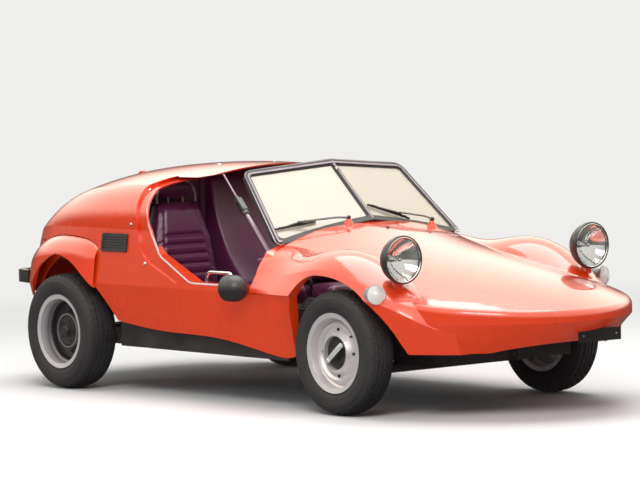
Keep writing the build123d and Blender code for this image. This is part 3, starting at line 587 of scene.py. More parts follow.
@dataclass
class RoadWheel:
    """The tyre, bolts, valve and hub trim of one wheel."""

    end: End
    side: Side
    station: float
    half_track: float
    tyre_half: float
    rim_half: float
    dish: float
    centre_height: float = 0.285
    blocks: int = 88
    sipe_spacing: float = 0.02
    bolt_circle: float = 0.106
    bar_slant: float = 52.0

    @property
    def corner(self) -> str:
        """The name of the wheel's corner."""
        return f"{self.end.value}_{self.side.word}"

    @property
    def body(self) -> str:
        """The body that the wheel turns with."""
        return f"wheel_{self.corner}"

    def place(self, offset: float = 0.0) -> Matrix:
        """The wheel's own frame, its Z pointing out of the car.

        Args:
            offset: A distance outwards from the middle of the tyre.

        Returns:
            The matrix to the car's frame.
        """
        return facing(self.side.at(self.half_track + offset, self.station, self.centre_height), self.side.out)

    def half_section(self) -> Outline:
        """Draws the tyre's outside from the bead to the middle of the tread.

        Returns:
            The (radius, width) points.
        """
        half, seat = self.tyre_half, self.rim_half
        bead = [(0.1655, seat - 0.010), (0.170, seat - 0.006), (0.181, seat - 0.0035)]
        # Radius, and how far inside the tyre's full width
        wall = [
            (0.1850, 0.0105), (0.1862, 0.0070), (0.1885, 0.0068), (0.1900, 0.0088), (0.1990, 0.0045),
            (0.2100, 0.0018), (0.2118, 0.0016), (0.2124, 0.0008), (0.2146, 0.0008), (0.2152, 0.0014),
            (0.2240, 0.0004), (0.2320, 0.0000), (0.2400, 0.0008), (0.2440, 0.0016), (0.2446, 0.0004),
            (0.2464, 0.0006), (0.2470, 0.0024), (0.2540, 0.0050), (0.2610, 0.0084), (0.2622, 0.0078),
            (0.2650, 0.0096), (0.2700, 0.0140), (0.2765, 0.0205),
        ]
        outer, groove, depth = half - wall[-1][1], 0.0045, 0.0070
        pitch = outer / 2.5
        tread = []
        for rib in range(2):
            edge = outer - pitch * (rib + 1)
            crown = 0.2845 - 0.006 * (edge / outer) ** 2
            tread += [(crown, edge + groove / 2), (crown - depth, edge + groove / 4),
                      (crown - depth, edge - groove / 4), (crown, edge - groove / 2)]
        return [*bead, *((radius, half - inset) for radius, inset in wall), *tread]

    def tyre(self) -> None:
        """Models the tyre with its grooved tread, sipes and ringed walls."""
        bm = bmesh.new()
        half = self.half_section()
        section = [*half, *((radius, -width) for radius, width in reversed(half))]
        lathe(bm, section, Matrix.Identity(4), steps=self.blocks, closed=True)
        sipes = []
        for face in bm.faces:
            middle = face.calc_center_median()
            reach = middle.xy.length
            rib = reach > 0.2770 and abs(face.normal.z) < 0.35
            if rib or 0.2725 < reach < 0.2775:
                step = round((atan2(middle.y, middle.x) % tau) / tau * self.blocks - 0.5)
                row = round(middle.z / self.sipe_spacing)
                if (step + row) % 2 == 0:
                    sipes.append(face)
        bmesh.ops.inset_individual(bm, faces=sipes, thickness=0.0014, depth=-0.0026)
        bmesh.ops.transform(bm, matrix=self.place(), verts=bm.verts[:])
        node = f"tyre_{self.corner}"
        make_piece(bm, Fit(f"tread_{node}", Slot.TYRE, (node,), body=self.body, crease=28))

    def bolts(self) -> None:
        """Models the four wheel bolts, set into the disc's holes."""
        bm = bmesh.new()
        for quarter in range(4):
            turn = Matrix.Rotation(quarter * tau / 4, 4, "Z")
            place = self.place(self.dish) @ turn @ Matrix.Translation((self.bolt_circle, 0, 0))
            head = [(0, 0.0065), (0.0055, 0.0062), (0.0068, 0.005), (0.0068, -0.004), (0, -0.004)]
            washer = [(0.0060, -0.001), (0.0082, -0.0005), (0.0086, -0.003), (0.0060, -0.003)]
            lathe(bm, head, place, 6)
            lathe(bm, washer, place, 24, True)
        make_piece(bm, Fit(f"wheel_bolts_{self.corner}", Slot.STEEL, finish="dark_bolts", body=self.body))

    def valve(self) -> None:
        """Models the rubber valve with its cap, standing out of the rim's well."""
        bm = bmesh.new()
        foot = self.place(0.026) @ Matrix.Rotation(radians(35), 4, "Z") @ Matrix.Translation((0.150, 0, 0))
        foot = foot @ Matrix.Rotation(radians(-24), 4, "Y")
        section = [(0, 0), (0.0062, 0), (0.0058, 0.005), (0.0044, 0.008), (0.0042, 0.022), (0.0046, 0.0225),
                   (0.0046, 0.033), (0.0038, 0.035), (0, 0.0352)]
        lathe(bm, section, foot, 16)
        make_piece(bm, Fit(f"valve_{self.corner}", Slot.RUBBER, body=self.body))

    def hub_bar(self) -> None:
        """Models the bright flat bar that lies across a front wheel's open centre."""
        bm = bmesh.new()
        slant = radians(90 + self.side.value * self.bar_slant)
        place = self.place(self.dish + 0.0275) @ Matrix.Rotation(slant, 4, "Z")
        slab(bm, (0.128, 0.024, 0.005), place, 0.0014)
        for end in (-1, 1):
            foot = place @ Matrix.Translation((end * 0.060, 0, -0.001))
            slab(bm, (0.014, 0.019, 0.010), foot, 0.0015)
            lathe(bm, [(0, 0.0068), (0.0035, 0.0066), (0.0048, 0.005), (0.0048, 0.002), (0, 0.002)],
                  place @ Matrix.Translation((end * 0.052, 0, 0)), 6)
        make_piece(bm, Fit(f"hub_bar_{self.side.word}", Slot.BRIGHT, finish="bright_plate", body=self.body))

    def hub_cap(self) -> None:
        """Models the greased nut and its cup in the middle of the hub."""
        bm = bmesh.new()
        rise = 0.004 if self.end is End.FRONT else 0.024
        place = self.place(self.dish + rise)
        cup = [(0, 0.020), (0.018, 0.019), (0.024, 0.014), (0.0255, 0.004), (0.031, 0.003), (0.031, 0.0002),
               (0, 0.0002)]
        lathe(bm, cup, place, 40)
        for k in range(5):
            turn = Matrix.Rotation(k * tau / 5, 4, "Z")
            lathe(bm, [(0, 0.0055), (0.0045, 0.0052), (0.0055, 0.004), (0.0055, 0.0002), (0, 0.0002)],
                  place @ turn @ Matrix.Translation((0.052, 0, 0)), 6)
        make_piece(bm, Fit(f"hub_cap_{self.corner}", Slot.BLACK_STEEL, body=self.body))

    def build(self) -> None:
        """Builds every piece of the wheel."""
        self.tyre()
        self.bolts()
        self.valve()
        self.hub_cap()
        if self.end is End.FRONT:
            self.hub_bar()


# Lamps


@dataclass
class Headlamp:
    """The bezel, reflector, bulb and fluted glass of one headlamp."""

    side: Side
    x: float = 0.580
    station: float = -0.351
    height: float = 0.712
    radius: float = 0.108
    glass_rows: int = 44
    glass_dome: float = 0.016
    glass_thickness: float = 0.0036
    flute_width: float = 0.0062
    band_height: float = 0.021

    def place(self, ahead: float = 0.0) -> Matrix:
        """The lamp's frame, its Z pointing forwards.

        Args:
            ahead: A distance forwards from the lamp's rim.

        Returns:
            The matrix to the car's frame.
        """
        return facing(self.side.at(self.x, self.station - ahead, self.height), AHEAD)

    def fit(self, name: str, slot: Slot, **more: str) -> Fit:
        """A fit for one of the lamp's pieces on the car's body."""
        return Fit(f"{name}_{self.side.word}", slot, **more)

    def bezel(self) -> None:
        """Models the dark rim round the glass with its clamp screw below, and the bright ring inside it."""
        bm, ring = bmesh.new(), bmesh.new()
        r = self.radius
        section = [(r - 0.0062, 0.001), (r - 0.0060, 0.0090), (r - 0.0044, 0.0112), (r - 0.0018, 0.0116),
                   (r + 0.0005, 0.0095), (r + 0.0012, 0.0040), (r + 0.0008, -0.0085), (r - 0.0004, -0.0100),
                   (r - 0.0006, 0.0005)]
        lathe(bm, section, self.place(), 96, closed=True)
        inner = [(r - 0.0110, 0.0045), (r - 0.0104, 0.0085), (r - 0.0084, 0.0102), (r - 0.0064, 0.0096),
                 (r - 0.0064, 0.0040)]
        lathe(ring, inner, self.place(), 96, closed=True)
        make_piece(ring, self.fit("headlamp_ring", Slot.BRIGHT))
        screw = self.place(0.0095) @ Matrix.Translation((0, -r + 0.005, 0))
        lathe(bm, [(0, 0.0035), (0.0024, 0.0033), (0.0032, 0.0022), (0.0032, 0), (0, 0)], screw, 16)
        make_piece(bm, self.fit("headlamp_bezel", Slot.BRIGHT, finish="wiper_black"))

    def reflector(self) -> None:
        """Models the silvered bowl behind the glass, with a wall of real thickness."""
        bm = bmesh.new()
        depth, rim = 0.066, self.radius - 0.0105
        inner = [(rim * k / 14, -0.004 - depth * (1 - (k / 14) ** 2)) for k in range(2, 15)]
        outer = [(radius, height - 0.0012) for radius, height in reversed(inner)]
        lathe(bm, [*inner, *outer], self.place(), 64, closed=True)
        make_piece(bm, self.fit("headlamp_reflector", Slot.BRIGHT, finish="silvered"))

    def bulb(self) -> None:
        """Models the bulb with its collar and the cap in front of its filament."""
        bm = bmesh.new()
        base = self.place(-0.070)
        section = [(0, 0), (0.013, 0), (0.013, 0.008), (0.0078, 0.010), (0.0078, 0.030), (0.0070, 0.038),
                   (0.0040, 0.042), (0, 0.043)]
        lathe(bm, section, base, 24)
        cap = [(0, 0.0545), (0.0095, 0.0520), (0.0110, 0.0440), (0.0102, 0.0440), (0.0088, 0.0510),
               (0, 0.0532)]
        lathe(bm, cap, base, 24)
        for angle in (60, 180, 300):
            arm = base @ Matrix.Rotation(radians(angle), 4, "Z")
            slab(bm, (0.0012, 0.002, 0.038), arm @ Matrix.Translation((0.0106, 0, 0.027)), 0.0003, 1)
        make_piece(bm, self.fit("headlamp_bulb", Slot.BRIGHT))

    def glass(self) -> bmesh.types.BMesh:
        """Models the domed glass, moulded inside with upright flutes and level bands.

        Returns:
            The glass alone, in place.
        """
        bm = bmesh.new()
        r = self.radius - 0.0060
        bmesh.ops.create_grid(bm, x_segments=self.glass_rows, y_segments=self.glass_rows, size=r)
        for vert in bm.verts:
            x, y = vert.co.x / r, vert.co.y / r
            disc = Vector((x * (1 - y * y / 2) ** 0.5, y * (1 - x * x / 2) ** 0.5))
            vert.co.x, vert.co.y = disc.x * r, disc.y * r
            vert.co.z = self.glass_dome * (1 - disc.length_squared)
        shell = bmesh.ops.extrude_face_region(bm, geom=bm.faces[:])
        back = [g for g in shell["geom"] if isinstance(g, bmesh.types.BMVert)]
        for vert in back:
            plain_rim = min(1.0, max(0.0, (0.93 - vert.co.xy.length / r) * 12))
            upright = 0.0011 * abs(sin(vert.co.x / self.flute_width * pi / 2))
            level = 0.0008 * abs(sin(vert.co.y / self.band_height * pi / 2))
            vert.co.z -= self.glass_thickness + (upright + level) * plain_rim
        bmesh.ops.transform(bm, matrix=self.place(0.0008), verts=bm.verts[:])
        return bm

    def build(self) -> None:
        """Builds every piece of the lamp."""
        self.bezel()
        self.reflector()
        self.bulb()


def headlamps() -> None:
    """Builds both headlamps, their glasses as one piece."""
    glasses = bmesh.new()
    for side in Side:
        lamp = Headlamp(side)
        lamp.build()
        absorb(glasses, lamp.glass())
    make_piece(glasses, Fit("headlamp_glass", Slot.LAMP_GLASS, ("headlamp_lenses",), crease=80))


# Windscreen and body trim


def mirrored_profile(half: Outline, crown: Optional[float] = None) -> Outline:
    """Completes a profile that is the same on both sides.

    Args:
        half: One side's (outward, sideways) points, from the foot up.
        crown: The height of a point in the middle, if it has one.

    Returns:
        The whole profile.
    """
    top = [] if crown is None else [(crown, 0.0)]
    return [*((outward, -sideways) for outward, sideways in half), *top, *reversed(half)]


BEADING = mirrored_profile([(-0.001, 0.0022), (0.0012, 0.0014)])


@dataclass(frozen=True)
class WiperPlan:
    """Where one wiper lies: its blade's ends, the arm's grip on it and the top of its spindle."""

    side: Side
    start: Vector
    end: Vector
    grip: Vector
    pivot: Vector


WIPERS = (
    WiperPlan(Side.RIGHT, start=at(-0.530, 0.612, 0.815), end=at(-0.300, 0.590, 0.840),
              grip=at(-0.400, 0.600, 0.832), pivot=at(-0.150, 0.528, 0.848)),
    WiperPlan(Side.LEFT, start=at(0.030, 0.602, 0.905), end=at(0.262, 0.566, 0.828),
              grip=at(0.200, 0.574, 0.846), pivot=at(0.352, 0.506, 0.815)),
)


@dataclass
class Windscreen:
    """The channel in the rubber frame, a pale strip painted as the highlight on its rounded outer edge, a
    pale strip painted as the bar's highlight, the bar's clip, the seal and two wipers.
    """

    foot: Vector = field(default_factory=lambda: at(0, 0.526, 0.829))
    peak: Vector = field(default_factory=lambda: at(0, 0.839, 1.112))
    low: Vector = field(default_factory=lambda: at(0.578, 0.543, 0.731))
    high: Vector = field(default_factory=lambda: at(0.490, 0.905, 1.072))
    corner: float = 0.048
    rounding: int = 8
    sag: float = 0.056
    face: float = 0.0136

    def plane(self) -> tuple[Vector, Vector, Vector]:
        """Works out the left pane's axes.

        Returns:
            The directions along its foot, up it, and out of its front.
        """
        along = (self.low - self.foot).normalized()
        front = along.cross(self.peak - self.foot).normalized()
        return along, front.cross(along), front

    def chain(self, margin: float, bar: float = 0.0) -> list[Vector]:
        """The left pane's outline from the foot of the centre bar round to its top, drawn in by a margin.

        Args:
            margin: How far inside the frame's outer edge it runs.
            bar: How far beside the middle it starts and ends.

        Returns:
            The points, on the pane's middle plane.
        """
        _, up, front = self.plane()
        curve = [self.foot + (self.low - self.foot) * t + up * self.sag * t * (1 - t)
                 for t in (0.2, 0.4, 0.6, 0.8)]
        path = rounded([self.foot, *curve, self.low, self.high, self.peak], self.corner, self.rounding)
        steps = [(after - before).normalized() for before, after in zip(path, path[1:])]
        inward = [front.cross(step) for step in steps]
        rise = (self.peak - self.foot).normalized()
        base, top = rise.dot(inward[0]), -rise.dot(inward[-1])
        start = self.foot + steps[0] * bar / base + rise * margin / base
        end = self.peak - steps[-1] * bar / top - rise * margin / top
        moved = [point + (one + two) * margin / (1 + one.dot(two))
                 for point, one, two in zip(path[1:-1], inward, inward[1:])]
        return [start, *moved, end]

    def middle_front(self) -> Vector:
        """The direction out of the centre bar's front."""
        _, _, front = self.plane()
        return Vector((0, front.y, front.z)).normalized()

    def band(self, name: str, margin: float, profile: Outline, finish: Optional[str]) -> None:
        """Models one strip that runs up the sides and across the top of both panes.

        Args:
            name: The piece's name.
            margin: How far inside the frame's outer edge it runs.
            profile: Its section, as (out of the frame, across) points.
            finish: An extra finish's name, if it has one.
        """
        _, _, front = self.plane()
        middle = self.middle_front()
        past_foot = 1 + 4 * (self.rounding + 1)
        half = self.chain(margin)[past_foot:]
        half = [point + front * self.face for point in half[:-1]] + [half[-1] + middle * self.face]
        other = [Vector((-point.x, point.y, point.z)) for point in reversed(half[:-1])]
        bm = bmesh.new()
        sweep(bm, [*half, *other], profile, middle)
        make_piece(bm, Fit(name, Slot.BRIGHT, finish=finish))

    def strips(self) -> None:
        """Builds the bright channel, a pale strip painted as the highlight on the frame's rounded outer edge,
        a pale strip painted as the centre bar's highlight, and the seal round the glass.
        """
        channel = mirrored_profile([(-0.003, 0.0058), (0.0012, 0.0054), (0.0020, 0.0036)], 0.0022)
        self.band("screen_channel", 0.0216, channel, "dull_channel")
        # A pale strip at the frame's outer edge: painted highlight on its rounded edge.
        edging = mirrored_profile([(-0.003, 0.0018), (0.0010, 0.0016)], 0.0020)
        self.band("screen_edge_highlight", 0.0026, edging, "satin_metal_and_highlight")
        _, _, front = self.plane()
        middle = self.middle_front()
        rise = (self.peak - self.foot).normalized()
        # A pale strip down the centre bar: painted highlight on the bar.
        strip = bmesh.new()
        line = [self.foot + rise * 0.010 + middle * 0.0138, self.peak - rise * 0.012 + middle * 0.0138]
        sweep(strip, line, mirrored_profile([(-0.003, 0.0020), (0.0008, 0.0018)], 0.0014), middle)
        make_piece(strip, Fit("screen_bar_highlight", Slot.BRIGHT, finish="satin_metal_and_highlight"))
        seal = bmesh.new()
        section = [(-0.010, -0.0062), (-0.0040, -0.0062), (0.0010, -0.0034), (0.0022, -0.0006),
                   (-0.001, 0.0010), (-0.010, 0.0010)]
        for side in Side:
            out = Vector((side.value * front.x, front.y, front.z))
            path = [Vector((side.value * p.x, p.y, p.z)) + out * 0.008 for p in self.chain(0.0305, 0.0105)]
            sweep(seal, path, [(u, v * side.value) for u, v in section], out, closed=True)
        make_piece(seal, Fit("screen_seal", Slot.RUBBER))

    def wiper(self, plan: WiperPlan) -> None:
        """Models one wiper: its rubber, bridge, arm and spindle cap.

        Args:
            plan: Where it lies.
        """
        _, _, front = self.plane()
        front = Vector((plan.side.value * front.x, front.y, front.z))
        start, end, grip, pivot = plan.start, plan.end, plan.grip, plan.pivot
        along = (end - start).normalized()
        blade = bmesh.new()
        edge = mirrored_profile([(-0.004, 0.0010), (0.002, 0.0030), (0.006, 0.0032)])
        sweep(blade, [start, start + along * 0.10, end - along * 0.10, end], edge, front)
        bridge = mirrored_profile([(0.005, 0.0032), (0.009, 0.0028)], 0.010)
        sweep(blade, [start + along * 0.02, end - along * 0.02], bridge, front)
        hump = [start + along * 0.05 + front * 0.004, grip + front * 0.016,
                end - along * 0.05 + front * 0.004]
        sweep(blade, rounded(hump, 0.03), mirrored_profile([(-0.003, 0.0035), (0.003, 0.0030)]), front)
        make_piece(blade, Fit(f"wiper_{plan.side.word}_blade", Slot.RUBBER))
        arm = bmesh.new()
        rise = pivot + front * 0.010
        path = rounded([rise, rise + (grip - rise) * 0.25 + front * 0.014, grip + front * 0.020], 0.02)
        sweep(arm, path, mirrored_profile([(-0.0018, 0.0045), (0.0022, 0.0040)]), front)
        spindle = [(0, 0.020), (0.0060, 0.0185), (0.0095, 0.014), (0.0105, 0.004), (0.0105, -0.010),
                   (0, -0.010)]
        lathe(arm, spindle, facing(pivot, (front + UP * 0.6).normalized()), 24)
        slab(arm, (0.012, 0.012, 0.008), facing(grip + front * 0.018, front), 0.002)
        make_piece(arm, Fit(f"wiper_{plan.side.word}_arm", Slot.BLACK_STEEL, finish="wiper_black"))

    def clip(self) -> None:
        """Models the small clip near the top of the centre bar."""
        bm = bmesh.new()
        bar = self.peak - self.foot
        front = Side.LEFT.out.cross(bar.normalized())
        place = facing(self.foot + bar * 0.84 + front * 0.0145, front)
        slab(bm, (0.024, 0.017, 0.005), place, 0.0015)
        slab(bm, (0.010, 0.010, 0.009), place @ Matrix.Translation((0, 0, 0.004)), 0.002)
        make_piece(bm, Fit("screen_clip", Slot.BRIGHT, finish="satin_metal_and_highlight"))

    def build(self) -> None:
        """Builds every piece of the windscreen's trim."""
        self.strips()
        self.clip()
        for plan in WIPERS:
            self.wiper(plan)


@dataclass
class BodyTrim:
    """Small pieces fixed to the body: opening lips, studs, stay clamps, mirrors, signals and plates."""

    opening_back: float = 1.412
    sill: float = 0.568
    signal_radius: float = 0.0425
    signal_dome: float = 0.0170

    def opening_path(self) -> Outline:
        """Draws the side opening's edge, from the front of the sill up its rear edge.

        Returns:
            The (station, height) points.
        """
        back = self.opening_back
        corners = [(0.600, self.sill), (1.000, self.sill), (back - 0.144, 0.686), (back - 0.052, 0.800),
                   (back - 0.017, 0.920), (back + 0.001, 0.990)]
        path = rounded([Vector((0, station, height)) for station, height in corners], 0.028, 5)
        return [(point.y, point.z) for point in path]

    def opening_lip(self, side: Side) -> None:
        """Models the pale edging pressed over the rim of a side opening.

        Args:
            side: The side of the car.
        """
        skin = Skin("canopy", f"side_panel_{side.word}")
        path = []
        for station, height in self.opening_path():
            outward = 0.006 if height > self.sill + 0.001 else 0.0
            start = side.at(BESIDE, station + outward, height - 0.006)
            point, _ = skin.below(start, -side.out)
            path.append(point)
        bm = bmesh.new()
        profile = mirrored_profile([(-0.003, 0.0045), (0.0022, 0.0040), (0.0038, 0.0014)])
        sweep(bm, path, profile, side.out + UP * 0.25)
        make_piece(bm, Fit(f"opening_lip_{side.word}", Slot.RUBBER, finish="pale_edging"))

    def studs(self) -> None:
        """Models the round press studs that hold the weather cover."""
        bm = bmesh.new()
        skin = Skin("canopy", "side_panel_left", "side_panel_right")
        section = [(0, 0.0022), (0.0030, 0.0020), (0.0034, 0.0046), (0.0048, 0.0048), (0.0052, 0.0030),
                   (0.0085, 0.0022), (0.0098, 0.0008), (0.0098, -0.001), (0, -0.001)]
        spots = [(side.at(x, station, OVERHEAD), DOWN) for side in Side
                 for x, station in ((0.175, 1.479), (0.40, 1.452))]
        spots += [(side.at(BESIDE, station, z), -side.out) for side in Side
                  for station, z in ((1.500, 0.823), (1.478, 0.990), (1.370, 0.640))]
        for start, way in spots:
            point, normal = skin.below(start, way)
            lathe(bm, section, facing(point, normal), 24)
        make_piece(bm, Fit("cover_studs", Slot.BRIGHT))

    def mirror_glass(self) -> None:
        """Models the two mirrors' glass and the rubber feet of their arms."""
        glass, feet = bmesh.new(), bmesh.new()
        for side in Side:
            face = facing(side.at(0.804, 0.6172, 0.560), REARWARDS)
            section = [(0, 0.0030), (0.030, 0.0027), (0.0545, 0.0018), (0.0562, 0.0004), (0.0562, -0.0001),
                       (0, -0.0001)]
            lathe(glass, section, face, 48)
            foot = facing(side.at(0.742, 0.588, 0.551), side.out + UP * 0.15)
            collar = [(0.0112, 0.012), (0.014, 0.011), (0.020, 0.004), (0.024, 0.001), (0.024, -0.004),
                      (0.0112, -0.004)]
            lathe(feet, collar, foot, 28, True)
        make_piece(glass, Fit("mirror_glass", Slot.BRIGHT, finish="silvered"))
        make_piece(feet, Fit("mirror_feet", Slot.RUBBER))

    def signals(self) -> None:
        """Models the ridged lenses and the rubber seats of the front signals."""
        lenses, seats = bmesh.new(), bmesh.new()
        for side in Side:
            out = Vector((side.value * 0.3, -0.95, 0.05)).normalized()
            place = facing(side.at(0.702, -0.306, 0.562) + out * 0.007, out)
            section = [(0, self.signal_dome)]
            for step in range(1, 11):
                radius = self.signal_radius * step / 10.6
                rise = self.signal_dome * (1 - (radius / 0.0434) ** 2)
                section += [(radius - 0.0012, rise), (radius, rise - 0.0011),
                            (radius + 0.0006, rise + 0.0001)]
            section += [(0.0428, 0.0016), (0.0430, -0.003), (0, -0.003)]
            lathe(lenses, section, place, 56)
            seat = [(0.0300, -0.003), (0.0445, -0.003), (0.0452, -0.006), (0.0440, -0.010), (0.038, -0.013),
                    (0.0345, -0.017), (0.0340, -0.070), (0.0300, -0.070)]
            lathe(seats, seat, place, 56, True)
        make_piece(lenses, Fit("signal_lenses", Slot.WHITE_LENS, ("turn_signals",)))
        make_piece(seats, Fit("signal_seats", Slot.WHITE_LENS, finish="grey_base"))

    def stays(self) -> None:
        """Models the black clamps at the joints of the roof stays, with their collars and screws."""
        clamps, screws = bmesh.new(), bmesh.new()
        lower = [(0.0112, 0.048), (0.0150, 0.050), (0.0165, 0.056), (0.0165, 0.078), (0.0148, 0.083),
                 (0.0112, 0.084)]
        upper = [(0.0050, -0.084), (0.0085, -0.082), (0.0105, -0.074), (0.0115, -0.048), (0.0050, -0.046)]
        screw = [(0, 0.0195), (0.0042, 0.0190), (0.0056, 0.0175), (0.0056, 0.0140), (0, 0.0140)]
        for side in Side:
            top, foot = side.at(0.350, 1.240, 1.075), side.at(0.562, 0.600, 0.690)
            along = foot - top
            place = facing(top + along * 0.42, along)
            slab(clamps, (0.030, 0.036, 0.110), place, 0.006, 3)
            lathe(clamps, lower, place, 28, True)
            lathe(clamps, upper, place, 24, True)
            for shift in (-0.030, 0.030):
                for turn in (-90, 90):
                    head = place @ Matrix.Translation((0, 0, shift)) @ Matrix.Rotation(radians(turn), 4, "Y")
                    lathe(screws, screw, head, 6)
        make_piece(clamps, Fit("stay_clamps", Slot.BRIGHT, finish="wiper_black"))
        make_piece(screws, Fit("stay_screws", Slot.BRIGHT, finish="dark_bolts"))

    def nozzle(self) -> None:
        """Models the washer's nozzle in front of the windscreen."""
        bm = bmesh.new()
        skin = Skin("front_body")
        point, normal = skin.below(at(0, 0.420, OVERHEAD), DOWN)
        place = facing(point, normal)
        section = [(0, 0.0085), (0.0040, 0.0080), (0.0062, 0.0055), (0.0068, 0.0030), (0.0105, 0.0022),
                   (0.0115, 0.0008), (0.0115, -0.002), (0, -0.002)]
        lathe(bm, section, place, 28)
        for side in Side:
            jet = place @ Matrix.Translation((side.value * 0.0035, 0.0045, 0.0055))
            slab(bm, (0.0022, 0.0030, 0.0022), jet, 0.0006, 1)
        make_piece(bm, Fit("washer_nozzle", Slot.PLASTIC))

    def plates(self) -> None:
        """Models the raised borders and screws of the blank plates."""
        rims, screws = bmesh.new(), bmesh.new()
        # Middle, width, height and the way each plate faces
        blank = ((at(0.125, -0.871, 0.3545), 0.262, 0.057, AHEAD),
                 (at(0, 2.495, 0.6925), 0.300, 0.105, REARWARDS))
        for middle, width, height, out in blank:
            corners = [middle + Vector((sx * (width / 2 - 0.006), 0, sz * (height / 2 - 0.006)))
                       for sx, sz in ((-1, -1), (1, -1), (1, 1), (-1, 1))]
            path = []
            for k, corner in enumerate(corners):
                before, after = corners[k - 1], corners[(k + 1) % 4]
                path += rounded([corner.lerp(before, 0.2), corner, corner.lerp(after, 0.2)], 0.008, 4)[1:-1]
            sweep(rims, path, BEADING, out, closed=True)
            for side in Side:
                place = facing(middle - side.out * (width / 2 - 0.030), out)
                head = [(0, 0.0026), (0.0030, 0.0024), (0.0046, 0.0012), (0.0048, 0), (0, 0)]
                lathe(screws, head, place, 20)
        make_piece(rims, Fit("plate_borders", Slot.PLATE))
        make_piece(screws, Fit("plate_screws", Slot.STEEL))

    def build(self) -> None:
        """Builds every piece of the trim."""
        for side in Side:
            self.opening_lip(side)
        self.studs()
        self.stays()
        self.nozzle()
        self.mirror_glass()
        self.signals()
        self.plates()


# Soft furnishings


# A distance past the reach of every seam
FAR = 1.0


@dataclass
class PaddedPiece:
    """A stuffed form that swells by cloth simulation and then gets its sewn seams."""

    fit: Fit
    voxel: float = 0.006
    pressure: float = 4.0
    reach: float = 0.010
    fill: float = 0.7
    frames: int = 20

    def swell(self, bm: bmesh.types.BMesh) -> bpy.types.Object:
        """Remeshes the form, blows it up a little and keeps the result.

        Args:
            bm: The closed form, slightly smaller than the finished pad. It is freed.

        Returns:
            The pad, with its body and finish.
        """
        piece = make_piece(bm, self.fit)
        scene = bpy.context.scene
        remesh = piece.modifiers.new("remesh", "REMESH")
        remesh.mode = "VOXEL"
        remesh.voxel_size = self.voxel
        remesh.use_smooth_shade = True
        self.bake(piece)
        start = [vert.co.copy() for vert in piece.data.vertices]
        cloth = piece.modifiers.new("cloth", "CLOTH")
        cloth.settings.quality = 4
        cloth.settings.mass = 0.3
        cloth.settings.use_pressure = True
        cloth.settings.uniform_pressure_force = self.pressure
        cloth.settings.tension_stiffness = 18.0
        cloth.settings.compression_stiffness = 18.0
        cloth.settings.bending_stiffness = 0.6
        cloth.settings.effector_weights.gravity = 0.0
        cloth.point_cache.frame_end = self.frames
        for frame_number in range(1, self.frames + 1):
            scene.frame_set(frame_number)
        self.bake(piece)
        scene.frame_set(1)
        for vert, before in zip(piece.data.vertices, start):
            move = vert.co - before
            if move.length > self.reach:
                vert.co = before + move.normalized() * self.reach
        piece.data.shade_smooth()
        return piece

    @staticmethod
    def bake(piece: bpy.types.Object) -> None:
        """Replaces a piece's mesh with what its modifiers make of it.

        Args:
            piece: The piece, whose modifiers are removed.
        """
        graph = bpy.context.evaluated_depsgraph_get()
        mesh = bpy.data.meshes.new_from_object(piece.evaluated_get(graph))
        piece.modifiers.clear()
        if not mesh.materials:
            mesh.materials.append(piece.data.materials[0])
        piece.data = mesh


def press(piece: bpy.types.Object, depth: float, width: float, gap: Callable[[Vector], float]) -> None:
    """Draws a pad's surface in along sewn seams, by moving its points against their normals.

    Args:
        piece: The pad.
        depth: How deep a seam is.
        width: How far its pull reaches.
        gap: The distance from a point to the nearest seam.
    """
    mesh = piece.data
    normals = [vert.normal.copy() for vert in mesh.vertices]
    for vert, normal in zip(mesh.vertices, normals):
        near = gap(vert.co) / width
        if near < 3.0:
            vert.co -= normal * depth * exp(-near * near)


